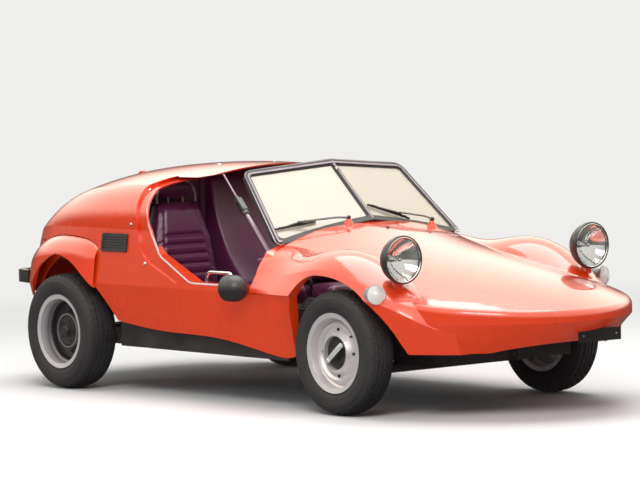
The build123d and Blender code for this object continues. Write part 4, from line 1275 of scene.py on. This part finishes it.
@dataclass
class Seat:
    """One bucket seat: a shell, a pleated cushion and backrest, and a headrest with piping."""

    side: Side
    centre: float = 0.400
    back: float = 1.600
    base: float = 0.256
    depth: float = 0.500
    roll: float = 0.047
    bolster: float = 0.146
    pleat_top: float = 0.760

    @property
    def middle(self) -> float:
        """The X of the seat's middle."""
        return self.side.value * self.centre

    @property
    def front(self) -> float:
        """The station of the cushion's front."""
        return self.back - self.depth

    def lean(self, height: float) -> float:
        """The station of the backrest's front face at a height."""
        return self.back - 0.146 + 0.066 * (height - 0.46) / 0.44

    def wedge(self, bm: bmesh.types.BMesh, rows: list[tuple[float, float, float, float]], soften: float,
              upright: bool) -> None:
        """Builds a closed pad from sections along its length, and rounds its edges.

        Args:
            bm: The mesh that it joins.
            rows: For each section its place along the pad, half its width, and its low and high faces.
            soften: The radius of its edges.
            upright: True where the sections are stacked upwards, False where they go rearwards.
        """
        part = bmesh.new()
        loops = []
        for along, half, low, high in rows:
            corners = [(self.middle - half, low), (self.middle + half, low),
                       (self.middle + half, high), (self.middle - half, high)]
            points = [at(x, face, along) if upright else at(x, along, face) for x, face in corners]
            verts = [part.verts.new(point) for point in points]
            loops.append([part.edges.new((verts[k - 1], verts[k])) for k in range(4)])
        for one, two in zip(loops, loops[1:]):
            bmesh.ops.bridge_loops(part, edges=one + two)
        bmesh.ops.holes_fill(part, edges=loops[0] + loops[-1], sides=0)
        bmesh.ops.recalc_face_normals(part, faces=part.faces[:])
        sharp = [e for e in part.edges if len(e.link_faces) == 2 and e.calc_face_angle(0.0) > 0.9]
        bmesh.ops.bevel(part, geom=sharp, offset=soften, segments=3, affect="EDGES", profile=0.5, material=-1)
        absorb(bm, part)

    def shell(self) -> None:
        """Models the seat's moulded shell under and behind the pads."""
        bm = bmesh.new()
        back = self.back
        rows = [(self.base, 0.188, self.front, back - 0.012),
                (0.330, 0.192, self.front - 0.005, back - 0.010)]
        self.wedge(bm, rows, 0.012, True)
        rows = [(0.335, 0.198, back - 0.120, back - 0.012), (0.620, 0.196, back - 0.085, back - 0.006),
                (0.800, 0.176, back - 0.068, back - 0.003), (0.912, 0.140, back - 0.052, back - 0.012)]
        self.wedge(bm, rows, 0.014, True)
        make_piece(bm, Fit(f"seat_shell_{self.side.word}", Slot.VINYL, (f"seat_{self.side.word}",),
                           finish="shell_black"))

    def cushion(self) -> None:
        """Models the cushion with its cross pleats and side bolsters."""
        bm = bmesh.new()
        rows = [(self.front, 0.172, 0.340, 0.450), (self.front + 0.030, 0.190, 0.334, 0.478),
                (self.front + 0.120, 0.196, 0.334, 0.484), (self.back - 0.150, 0.190, 0.334, 0.452)]
        self.wedge(bm, rows, 0.022, False)
        pad = PaddedPiece(Fit(f"seat_cushion_{self.side.word}", Slot.VINYL), reach=0.009).swell(bm)
        press(pad, 0.008, 0.007, self.cushion_gap)

    def cushion_gap(self, point: Vector) -> float:
        """Measures how far a point of the cushion is from the nearest pleat or bolster seam.

        Args:
            point: A point of the cushion's surface.

        Returns:
            The distance, or FAR below the cushion's top.
        """
        if point.z < 0.40:
            return FAR
        beside = abs(point.x - self.middle)
        behind = station_of(point) - self.front
        pleat = abs(behind / self.roll % 1.0 - 0.5) * self.roll
        return min(abs(beside - self.bolster), pleat if beside < self.bolster and behind > 0.02 else FAR)

    def backrest(self) -> None:
        """Models the backrest: rolls across its lower half and a plain pad above, between side bolsters."""
        bm = bmesh.new()
        # Height, half the width, and how far the pad stands forward of its lean
        levels = ((0.470, 0.190, 0.006), (0.560, 0.196, 0.016), (0.740, 0.180, 0.018), (0.880, 0.140, 0.008),
                  (0.925, 0.118, -0.004))
        rows = [(z, half, self.lean(z) - thick, self.back - 0.066 + 0.02 * (z - 0.46) / 0.44)
                for z, half, thick in levels]
        self.wedge(bm, rows, 0.022, True)
        pad = PaddedPiece(Fit(f"seat_backrest_{self.side.word}", Slot.VINYL), reach=0.009).swell(bm)
        press(pad, 0.010, 0.0075, self.backrest_gap)

    def backrest_gap(self, point: Vector) -> float:
        """Measures how far a point of the backrest is from the nearest roll's seam or bolster seam.

        Args:
            point: A point of the backrest's surface.

        Returns:
            The distance, or FAR behind its front face.
        """
        if station_of(point) > self.lean(point.z) + 0.030:
            return FAR
        beside = abs(point.x - self.middle)
        half = self.bolster - 0.050 * max(0.0, point.z - 0.60) / 0.30
        seam = abs(point.z - self.pleat_top)
        if point.z < self.pleat_top:
            seam = self.roll / 2 - abs(seam / self.roll % 1.0 - 0.5) * self.roll
        return min(abs(beside - half), seam if beside < half else FAR)

    def headrest(self) -> None:
        """Models the oval headrest and the hoop of piping round it."""
        bm = bmesh.new()
        x0, station = self.middle, self.back - 0.052
        bmesh.ops.create_uvsphere(bm, u_segments=40, v_segments=24, radius=1.0)
        power = 2.6
        for vert in bm.verts:
            x, y, z = vert.co / max(1e-6, sum(abs(part) ** power for part in vert.co) ** (1 / power))
            vert.co = at(x0 + x * 0.108, station + y * 0.030, 0.978 + z * 0.040)
        pad = PaddedPiece(Fit(f"headrest_{self.side.word}", Slot.VINYL), voxel=0.005, reach=0.005).swell(bm)
        press(pad, 0.003, 0.006, lambda point: abs(point.z - 0.950) if station_of(point) < station else FAR)
        hoop = bmesh.new()
        path = [at(x0 + 0.118 * cos(pi * k / 24), station - 0.010, 0.946 + 0.082 * sin(pi * k / 24))
                for k in range(25)]
        path = [path[0] + DOWN * 0.030, *path, path[-1] + DOWN * 0.030]
        sweep(hoop, path, circle(0.0055), AHEAD)
        make_piece(hoop, Fit(f"headrest_piping_{self.side.word}", Slot.VINYL, finish="pale_piping"))
        posts = bmesh.new()
        for offset in (-0.045, 0.045):
            post = [at(x0 + offset, station, 0.900), at(x0 + offset, station, 0.955)]
            sweep(posts, post, circle(0.006), AHEAD)
        make_piece(posts, Fit(f"headrest_posts_{self.side.word}", Slot.BRIGHT))

    def build(self) -> None:
        """Builds every piece of the seat."""
        self.shell()
        self.cushion()
        self.backrest()
        self.headrest()


@dataclass
class Upholstery:
    """The padded wall behind the seats, with the hump between them, and the facia's pad."""

    front: float = 1.604
    back: float = 1.650
    hump: float = 0.205
    border: float = 0.625

    def covered(self, node: str, piece: PaddedPiece, rounds: int) -> bpy.types.Object:
        """Swells a pad from one of the frame's own solids and smooths its cover.

        Args:
            node: The solid that the pad stands for.
            piece: How the pad is made.
            rounds: How often the cover is smoothed.

        Returns:
            The pad.
        """
        bm = bmesh.new()
        bm.from_mesh(frame["nodes"][node].data)
        bmesh.ops.remove_doubles(bm, verts=bm.verts[:], dist=1e-5)
        # Room for the cover to swell, at both ends and behind the wall
        for vert in bm.verts:
            vert.co.x *= 0.992
            if station_of(vert.co) > self.back - 0.004:
                vert.co.y -= 0.006
        pad = piece.swell(bm)
        smooth = bmesh.new()
        smooth.from_mesh(pad.data)
        for _ in range(rounds):
            bmesh.ops.smooth_vert(smooth, verts=smooth.verts[:], factor=0.5, use_axis_x=True, use_axis_y=True,
                                  use_axis_z=True)
        smooth.to_mesh(pad.data)
        smooth.free()
        pad.data.shade_smooth()
        return pad

    def facia(self) -> None:
        """Models the padded shelf under the windscreen, with a seam along its rear edge."""
        fit = Fit("facia_pad", Slot.VINYL, ("dashboard",))
        pad = self.covered("dashboard", PaddedPiece(fit, voxel=0.006, reach=0.003, pressure=2.0), 3)
        press(pad, 0.004, 0.005, lambda point: abs(station_of(point) - 0.648) if point.z > 0.690 else FAR)

    def wall(self) -> None:
        """Models the wall's pad with the seams beside its hump."""
        fit = Fit("bulkhead_pad", Slot.VINYL, ("bulkhead",))
        pad = self.covered("bulkhead", PaddedPiece(fit, voxel=0.0085, reach=0.006), 10)
        press(pad, 0.006, 0.007, self.wall_gap)

    def wall_gap(self, point: Vector) -> float:
        """Measures how far a point of the wall's pad is from the nearest upright seam.

        Args:
            point: A point of the pad's surface.

        Returns:
            The distance, or FAR behind its front face.
        """
        if station_of(point) > self.front + 0.03:
            return FAR
        beside = abs(point.x)
        return min(abs(beside - self.hump), abs(beside - self.border))

    def build(self) -> None:
        """Builds both pads."""
        self.wall()
        self.facia()


# Cabin


@dataclass
class Cabin:
    """Controls, dials and floor covering."""

    wheel: Vector = field(default_factory=lambda: at(0.330, 0.930, 0.700))
    rake: float = 24.0
    lacing_turns: int = 96
    dial_marks: int = 11
    before_dash: float = 0.85
    floor_top: float = 0.2525

    def wheel_place(self, along: float = 0.0) -> Matrix:
        """The steering wheel's frame, its Z along the column towards the driver.

        Args:
            along: A distance towards the driver.

        Returns:
            The matrix to the car's frame.
        """
        axis = Vector((0, cos(radians(self.rake)), sin(radians(self.rake))))
        return facing(self.wheel + axis * along, axis)

    def steering_wheel(self) -> None:
        """Models the wheel's boss and the lacing of its grip."""
        bm = bmesh.new()
        place = self.wheel_place()
        section = [(0, 0.008), (0.020, 0.0075), (0.032, 0.004), (0.038, -0.003), (0.038, -0.006), (0, -0.006)]
        lathe(bm, section, place, 48)
        make_piece(bm, Fit("wheel_boss", Slot.PLASTIC, body="steering_wheel"))
        grip = bmesh.new()
        for k in range(self.lacing_turns):
            spin = Matrix.Rotation(k * tau / self.lacing_turns, 4, "Z")
            turn = place @ spin @ Matrix.Translation((0.182, 0, 0))
            lathe(grip, [(0.0116, -0.0022), (0.01255, -0.0014), (0.01255, 0.0014), (0.0116, 0.0022)],
                  turn @ Matrix.Rotation(tau / 4, 4, "X"), 10)
        make_piece(grip, Fit("wheel_lacing", Slot.PLASTIC, body="steering_wheel"))

    def dials(self) -> None:
        """Models four round dials in front of the driver, and a row of switches."""
        rims, faces, marks, glass = bmesh.new(), bmesh.new(), bmesh.new(), bmesh.new()
        skin = Skin("dashboard")
        lean = REARWARDS + UP * 0.06
        for x, radius in ((0.270, 0.046), (0.392, 0.046), (0.170, 0.027), (0.485, 0.027)):
            point, _ = skin.below(at(x, self.before_dash, 0.700), AHEAD)
            place = facing(point, lean)
            rim = [(radius - 0.004, 0.002), (radius - 0.003, 0.0085), (radius + 0.001, 0.010),
                   (radius + 0.004, 0.0075), (radius + 0.0045, -0.004), (radius - 0.004, -0.004)]
            lathe(rims, rim, place, 48, True)
            face = [(0, 0.0022), (radius - 0.003, 0.0022), (radius - 0.003, -0.003), (0, -0.003)]
            lathe(faces, face, place, 40)
            for k in range(self.dial_marks):
                turn = place @ Matrix.Rotation(radians(225 - 27 * k), 4, "Z")
                slab(marks, (radius * 0.16, 0.0016 if k % 5 else 0.0026, 0.0006),
                     turn @ Matrix.Translation((radius * 0.80, 0, 0.0025)), 0.0)
            hand = place @ Matrix.Rotation(radians(205), 4, "Z")
            middle = hand @ Matrix.Translation((radius * 0.30, 0, 0.0045))
            slab(marks, (radius * 0.80, 0.0018, 0.0008), middle, 0.0003)
            lathe(marks, [(0, 0.0062), (0.004, 0.0060), (0.0046, 0.0030), (0, 0.0030)], place, 20)
            cover = [(0, 0.0080), (radius - 0.0038, 0.0076), (radius - 0.0038, 0.0068), (0, 0.0072)]
            lathe(glass, cover, place, 40)
        make_piece(rims, Fit("dial_rims", Slot.BRIGHT))
        make_piece(faces, Fit("dial_faces", Slot.PLASTIC))
        make_piece(marks, Fit("dial_marks", Slot.WHITE_LENS))
        make_piece(glass, Fit("dial_glass", Slot.GLASS))
        switches = bmesh.new()
        for k in range(5):
            point, _ = skin.below(at(-0.070 + k * 0.036, self.before_dash, 0.712), AHEAD)
            place = facing(point, lean)
            slab(switches, (0.022, 0.030, 0.008), place, 0.002)
            slab(switches, (0.014, 0.020, 0.010), place @ Matrix.Rotation(radians(12), 4, "X")
                 @ Matrix.Translation((0, 0, 0.004)), 0.003)
        make_piece(switches, Fit("dash_switches", Slot.PLASTIC))

    def piping(self) -> None:
        """Models the sewn roll along the facia's rear edge."""
        skin = Skin("dashboard")
        path = []
        for k in range(33):
            x = -0.560 + 1.12 * k / 32
            point, _ = skin.below(at(x, 0.683, 1.0), DOWN)
            path.append(point + UP * 0.002)
        bm = bmesh.new()
        sweep(bm, path, circle(0.0075), UP)
        make_piece(bm, Fit("facia_roll", Slot.VINYL))

    def pedals(self) -> None:
        """Models three pedals on their arms, with ribbed rubbers."""
        arms, pads = bmesh.new(), bmesh.new()
        for x, width in ((0.140, 0.050), (0.215, 0.050), (0.285, 0.034)):
            root, foot = at(x, -0.050, 0.500), at(x, -0.080, 0.345)
            bend = at(x, -0.135, 0.420)
            flat = mirrored_profile([(-0.004, 0.006), (0.004, 0.006)])
            sweep(arms, rounded([root, bend, foot], 0.03), flat, REARWARDS)
            place = facing(foot + Vector((0, 0.006, -0.010)), Vector((0, 0.86, 0.5)))
            slab(pads, (width, 0.062, 0.010), place, 0.003)
            for row in range(5):
                rib = place @ Matrix.Translation((0, -0.022 + 0.011 * row, 0.006))
                slab(pads, (width * 0.8, 0.005, 0.003), rib, 0.001, 1)
        rod = [at(0.110, -0.050, 0.500), at(0.345, -0.050, 0.500)]
        sweep(arms, rod, circle(0.009), REARWARDS)
        make_piece(arms, Fit("pedal_arms", Slot.BLACK_STEEL))
        make_piece(pads, Fit("pedal_rubbers", Slot.RUBBER))

    def mats(self) -> None:
        """Models the ribbed rubber mats on the floor plates and in the footwell."""
        bm = bmesh.new()
        mat, rib = self.floor_top + 0.002, self.floor_top + 0.005
        for side in Side:
            slab(bm, (0.455, 0.700, 0.004), Matrix.Translation(side.at(0.345, 0.725, mat)), 0.0015)
            for row in range(22):
                place = Matrix.Translation(side.at(0.135 + row * 0.020, 0.725, rib))
                slab(bm, (0.008, 0.680, 0.0035), place, 0.001, 1)
        slab(bm, (0.690, 0.690, 0.004), Matrix.Translation(at(0, 0.0, mat)), 0.0015)
        for row in range(33):
            place = Matrix.Translation(at(-0.32 + row * 0.020, 0.0, rib))
            slab(bm, (0.008, 0.670, 0.0035), place, 0.001, 1)
        make_piece(bm, Fit("floor_mats", Slot.RUBBER))

    def gaiter(self) -> None:
        """Models the pleated boot of the gear lever."""
        bm = bmesh.new()
        place = facing(at(0, 1.010, 0.4005), UP)
        section = [(0.056, 0.0), (0.057, 0.004), (0.052, 0.0055)]
        for fold in range(5):
            radius, height = 0.049 - 0.0075 * fold, 0.007 + 0.0078 * fold
            section += [(radius, height), (radius - 0.0010, height + 0.0030),
                        (radius - 0.0070, height + 0.0050)]
        section += [(0.0085, 0.047), (0.0085, 0.020)]
        lathe(bm, section, place, 40)
        make_piece(bm, Fit("gear_gaiter", Slot.RUBBER))

    def build(self) -> None:
        """Builds every piece of the cabin."""
        self.steering_wheel()
        self.dials()
        self.piping()
        self.pedals()
        self.mats()
        self.gaiter()


# Tail and engine bay


@dataclass
class Tail:
    """The bumper's strip, the lamps' lenses, the vents' edging, the lid's handle and the engine's dress."""

    end: float = 2.620
    strip_height: float = 0.5655
    lens_radius: float = 0.0375
    lens_dome: float = 0.0085
    fin_pitch: float = 0.024
    pulley_x: float = -0.050

    def bumper_strip(self) -> None:
        """Models the bright strip along the top of the rear bumper."""
        bm = bmesh.new()
        corners = [(0.655, self.end - 0.178), (0.630, self.end - 0.066), (0.552, self.end - 0.014)]
        path = [at(x, station, self.strip_height) for x, station in corners]
        path += [at(-x, station, self.strip_height) for x, station in reversed(corners)]
        sweep(bm, rounded(path, 0.02, 4), mirrored_profile([(-0.001, 0.008), (0.0012, 0.007)]), UP)
        make_piece(bm, Fit("bumper_strip", Slot.BRIGHT))
        ends = bmesh.new()
        for side in Side:
            place = facing(side.at(0.653, self.end - 0.176, 0.533), AHEAD + side.out * 0.2)
            slab(ends, (0.030, 0.066, 0.008), place, 0.003)
        make_piece(ends, Fit("bumper_ends", Slot.RUBBER))

    def lamps(self) -> None:
        """Models the ringed red lenses and their bright rims."""
        lenses, rims = bmesh.new(), bmesh.new()
        for side in Side:
            place = facing(side.at(0.430, 2.516, 0.690), REARWARDS)
            section = [(0, self.lens_dome)]
            for step in range(1, 9):
                radius = self.lens_radius * step / 8.4
                rise = self.lens_dome * (1 - (radius / 0.0400) ** 2) + 0.001
                section += [(radius - 0.0014, rise), (radius, rise - 0.0012), (radius + 0.0006, rise)]
            section += [(0.0378, 0.0012), (0.0378, -0.001), (0, -0.001)]
            lathe(lenses, section, place, 48)
            rim = [(0.0376, -0.002), (0.0376, 0.0042), (0.0400, 0.0052), (0.0425, 0.0036), (0.0432, -0.004),
                   (0.0425, -0.006)]
            lathe(rims, rim, place, 48, True)
        make_piece(lenses, Fit("tail_lenses", Slot.RED_LENS))
        make_piece(rims, Fit("tail_lamp_rims", Slot.BRIGHT))

    def vents(self) -> None:
        """Models the dark edging round each side vent."""
        skin = Skin("side_vents")
        steps = 12
        for side in Side:
            corners = [side.at(BESIDE, station, z) for station, z in
                       ((1.5245, 0.6925), (1.7245, 0.6925), (1.7245, 0.7755), (1.5245, 0.7755))]
            path = []
            for corner, after in zip(corners, [*corners[1:], corners[0]]):
                for step in range(steps):
                    point, _ = skin.below(corner.lerp(after, step / steps), -side.out)
                    path.append(point)
            bm = bmesh.new()
            sweep(bm, path, BEADING, side.out, closed=True)
            make_piece(bm, Fit(f"vent_edging_{side.word}", Slot.PLASTIC))

    def handle(self) -> None:
        """Models the lid's locking handle."""
        skin = Skin("engine_lid")
        point, normal = skin.below(at(0, 2.385, OVERHEAD), DOWN)
        bm = bmesh.new()
        place = facing(point, normal)
        lock = [(0, 0.010), (0.010, 0.0095), (0.012, 0.006), (0.017, 0.004), (0.018, -0.002), (0, -0.002)]
        lathe(bm, lock, place, 32)
        slab(bm, (0.066, 0.011, 0.007), place @ Matrix.Translation((0, 0, 0.0105)), 0.003)
        make_piece(bm, Fit("lid_handle", Slot.BRIGHT, body="engine_lid"))

    def engine_dress(self) -> None:
        """Models the cooling fins, side covers, pulleys and belt on the engine's block."""
        fins = bmesh.new()
        for row in range(11):
            place = Matrix.Translation(at(0, 2.150 + row * self.fin_pitch, 0.6455))
            slab(fins, (0.430, 0.005, 0.012), place, 0.0015, 1)
        for side in Side:
            place = Matrix.Translation(side.at(0.2435, 2.271, 0.470))
            slab(fins, (0.010, 0.270, 0.090), place, 0.004)
            for row in range(5):
                rib = place @ Matrix.Translation((side.value * 0.007, 0, 0.030 - row * 0.015))
                slab(fins, (0.006, 0.240, 0.005), rib, 0.0015, 1)
        make_piece(fins, Fit("engine_fins", Slot.ENGINE))
        pulleys, strap = bmesh.new(), bmesh.new()
        for z, radius in ((0.560, 0.050), (0.420, 0.064)):
            section = [(0, 0.028), (0.014, 0.028), (0.016, 0.020), (radius - 0.012, 0.016), (radius, 0.018),
                       (radius - 0.007, 0.011), (radius, 0.004), (radius - 0.012, 0.002), (0, 0.0)]
            lathe(pulleys, section, facing(at(self.pulley_x, 2.4305, z), REARWARDS), 40)
        make_piece(pulleys, Fit("engine_pulleys", Slot.STEEL))
        belt = [at(self.pulley_x + radius * cos(angle), 2.4415, z + radius * sin(angle))
                for z, radius, first in ((0.560, 0.047, 0), (0.420, 0.061, 12))
                for angle in (pi * (first + step) / 12 for step in range(13))]
        section = [(-0.004, -0.003), (-0.005, 0.003), (0.005, 0.003), (0.004, -0.003)]
        sweep(strap, belt, section, REARWARDS, closed=True)
        make_piece(strap, Fit("fan_belt", Slot.RUBBER))

    def build(self) -> None:
        """Builds every piece of the tail."""
        self.bumper_strip()
        self.lamps()
        self.vents()
        self.handle()
        self.engine_dress()


# The frame's own solids and the room


# The rear rims' own finish paints shade into their deep middle.
OVERRIDES = {"roof_stays": "stay_tube", "rim_rear_left": "wheel_painted_shade", "rim_rear_right": "wheel_painted_shade"}


def dress_frame() -> None:
    """Gives every solid of the frame its slot's finish, or its own where the photograph shows another."""
    for part in frame["record"]["subparts"]:
        node = frame["nodes"][part["node"]]
        own = OVERRIDES.get(part["node"])
        node.data.materials.clear()
        node.data.materials.append(EXTRAS[own] if own else MATERIALS[Slot(part["material_slot"])])


def pale_view(tree: bpy.types.NodeTree) -> bpy.types.NodeSocket:
    """A mask that is 1 for what the camera or a glass sees.

    Args:
        tree: The tree that it is for.

    Returns:
        The mask's socket.
    """
    path = add_node(tree, "ShaderNodeLightPath")
    either = add_node(tree, "ShaderNodeMath", operation="MAXIMUM")
    link(tree,
         (path.outputs["Is Camera Ray"], either.inputs[0]),
         (path.outputs["Is Transmission Ray"], either.inputs[1]))
    return either.outputs["Value"]


@dataclass
class Studio:
    """The pale room, its lamps and the camera."""

    eye: tuple[float, float, float] = (-10.553, -12.712, 1.714)
    azimuth: float = 39.5
    pitch: float = 3.4
    roll: float = -1.3
    lens: float = 193.5
    pale: Colour = (0.86, 0.855, 0.84)
    aim: tuple[float, float, float] = (0.0, 0.0, 0.6)
    floor_radius: float = 90.0
    fade_start: float = 2.6
    fade_end: float = 7.5
    floor_mirrored: Colour = (0.10, 0.09, 0.08)
    daylight: Colour = (0.93, 0.95, 1.0)
    daylight_strength: float = 0.30
    sky: Colour = (1.0, 0.95, 0.82)
    sky_heights: tuple[float, float] = (0.06, 0.34)
    sky_strengths: tuple[float, float] = (0.14, 2.1)

    def camera(self) -> None:
        """Sets the camera at the photograph's place and angle."""
        turn, tip, lean = radians(self.azimuth), radians(self.pitch), radians(self.roll)
        back = Vector((-sin(turn) * cos(tip), -cos(turn) * cos(tip), sin(tip)))
        right = (-back).cross(UP).normalized()
        up = right.cross(-back)
        across = right * cos(lean) + up * sin(lean)
        above = -right * sin(lean) + up * cos(lean)
        data = bpy.data.cameras.new("camera")
        data.lens = self.lens
        data.sensor_width = 36.0
        data.clip_end = 200.0
        camera = bpy.data.objects.new("camera", data)
        bpy.context.scene.collection.objects.link(camera)
        columns = Matrix((across, above, back)).transposed().to_4x4()
        camera.matrix_world = Matrix.Translation(self.eye) @ columns
        bpy.context.scene.camera = camera

    def floor_material(self) -> bpy.types.Material:
        """Builds the floor's finish, which fades into the far wall and mirrors dimly.

        Returns:
            The material.
        """
        material = bpy.data.materials.new("floor")
        material.use_nodes = True
        tree = material.node_tree
        pale = (*self.pale, 1.0)
        shader = tree.nodes["Principled BSDF"]
        fill(shader, {"Base Color": pale, "Roughness": 0.8, "Specular IOR Level": 0.1})
        glow = add_node(tree, "ShaderNodeEmission", {"Color": pale})
        place = add_node(tree, "ShaderNodeTexCoord")
        reach = add_node(tree, "ShaderNodeVectorMath", operation="LENGTH")
        fade = add_node(tree, "ShaderNodeMapRange", {"From Min": self.fade_start, "From Max": self.fade_end},
                        interpolation_type="SMOOTHSTEP")
        both = add_node(tree, "ShaderNodeMath", operation="MULTIPLY")
        mix = add_node(tree, "ShaderNodeMixShader")
        dim = add_node(tree, "ShaderNodeEmission", {"Color": (*self.floor_mirrored, 1.0)})
        last = add_node(tree, "ShaderNodeMixShader")
        path = add_node(tree, "ShaderNodeLightPath")
        link(tree,
             (place.outputs["Object"], reach.inputs[0]),
             (reach.outputs["Value"], fade.inputs["Value"]),
             (fade.outputs["Result"], both.inputs[0]),
             (pale_view(tree), both.inputs[1]),
             (both.outputs["Value"], mix.inputs["Fac"]),
             (shader.outputs["BSDF"], mix.inputs[1]),
             (glow.outputs["Emission"], mix.inputs[2]),
             (path.outputs["Is Glossy Ray"], last.inputs["Fac"]),
             (mix.outputs["Shader"], last.inputs[1]),
             (dim.outputs["Emission"], last.inputs[2]),
             (last.outputs["Shader"], tree.nodes["Material Output"].inputs["Surface"]))
        return material

    def floor(self) -> None:
        """Lays a wide pale floor that keeps the car's shadow."""
        bm = bmesh.new()
        bmesh.ops.create_circle(bm, cap_ends=True, radius=self.floor_radius, segments=96)
        mesh = bpy.data.meshes.new("floor")
        bm.to_mesh(mesh)
        bm.free()
        mesh.materials.append(self.floor_material())
        floor = bpy.data.objects.new("floor", mesh)
        bpy.context.scene.collection.objects.link(floor)

    def lamp(self, name: str, place: Vector, size: tuple[float, float], power: float) -> bpy.types.Object:
        """Adds one soft rectangular lamp that points at the car.

        Args:
            name: The lamp's name.
            place: Where it hangs.
            size: Its width and height.
            power: Its power in watts.

        Returns:
            The lamp.
        """
        data = bpy.data.lights.new(name, "AREA")
        data.shape = "RECTANGLE"
        data.size, data.size_y = size
        data.energy = power
        light = bpy.data.objects.new(name, data)
        light.location = place
        light.rotation_euler = (Vector(self.aim) - place).to_track_quat("-Z", "Y").to_euler()
        bpy.context.scene.collection.objects.link(light)
        return light

    def light(self) -> None:
        """Lights the car from above, in front and behind, in a pale world."""
        self.lamp("key", Vector((-5.0, -5.0, 5.5)), (4.0, 3.0), 300)
        self.lamp("top", Vector((0.5, 0.5, 6.5)), (6.0, 6.0), 430)
        fill_lamp = self.lamp("fill", Vector((-7.0, 4.5, 2.6)), (3.5, 2.5), 80)
        fill_lamp.visible_glossy = False
        world = bpy.data.worlds.new("room")
        bpy.context.scene.world = world
        world.use_nodes = True
        tree = world.node_tree
        even = tree.nodes["Background"]
        fill(even, {"Color": (*self.daylight, 1.0), "Strength": self.daylight_strength})
        seen = add_node(tree, "ShaderNodeBackground", {"Color": (*self.pale, 1.0)})
        mix = add_node(tree, "ShaderNodeMixShader")
        link(tree,
             (pale_view(tree), mix.inputs["Fac"]),
             (self.mirrored(tree, even), mix.inputs[1]),
             (seen.outputs["Background"], mix.inputs[2]),
             (mix.outputs["Shader"], tree.nodes["World Output"].inputs["Surface"]))

    def mirrored(self, tree: bpy.types.NodeTree, even: bpy.types.Node) -> bpy.types.NodeSocket:
        """What polished surfaces mirror: a bright warm sky above a dim horizon.

        Args:
            tree: The world's tree.
            even: The even light that every other surface gets.

        Returns:
            The shader's socket.
        """
        low, high = self.sky_heights
        dim, bright = self.sky_strengths
        place = add_node(tree, "ShaderNodeTexCoord")
        parts = add_node(tree, "ShaderNodeSeparateXYZ")
        rise = add_node(tree, "ShaderNodeMapRange",
                        {"From Min": low, "From Max": high, "To Min": dim, "To Max": bright},
                        interpolation_type="SMOOTHSTEP")
        sky = add_node(tree, "ShaderNodeBackground", {"Color": (*self.sky, 1.0)})
        path = add_node(tree, "ShaderNodeLightPath")
        mix = add_node(tree, "ShaderNodeMixShader")
        link(tree,
             (place.outputs["Generated"], parts.inputs["Vector"]),
             (parts.outputs["Z"], rise.inputs["Value"]),
             (rise.outputs["Result"], sky.inputs["Strength"]),
             (path.outputs["Is Glossy Ray"], mix.inputs["Fac"]),
             (even.outputs["Background"], mix.inputs[1]),
             (sky.outputs["Background"], mix.inputs[2]))
        return mix.outputs["Shader"]

    def build(self) -> None:
        """Sets up the whole room."""
        self.camera()
        self.floor()
        self.light()
        bpy.context.scene.view_settings.view_transform = "Standard"


def main() -> None:
    """Builds every piece in order."""
    logging.basicConfig(level=logging.INFO, format="%(name)s: %(message)s")
    dress_frame()
    for side in Side:
        RoadWheel(End.FRONT, side, station=0.0, half_track=0.637, tyre_half=0.075, rim_half=0.063,
                  dish=0.030).build()
        RoadWheel(End.REAR, side, station=2.027, half_track=0.700, tyre_half=0.088, rim_half=0.074,
                  dish=0.0).build()
    headlamps()
    Windscreen().build()
    BodyTrim().build()
    Tail().build()
    for side in Side:
        Seat(side).build()
    Upholstery().build()
    Cabin().build()
    Studio().build()


if __name__ == "__main__":
    main()
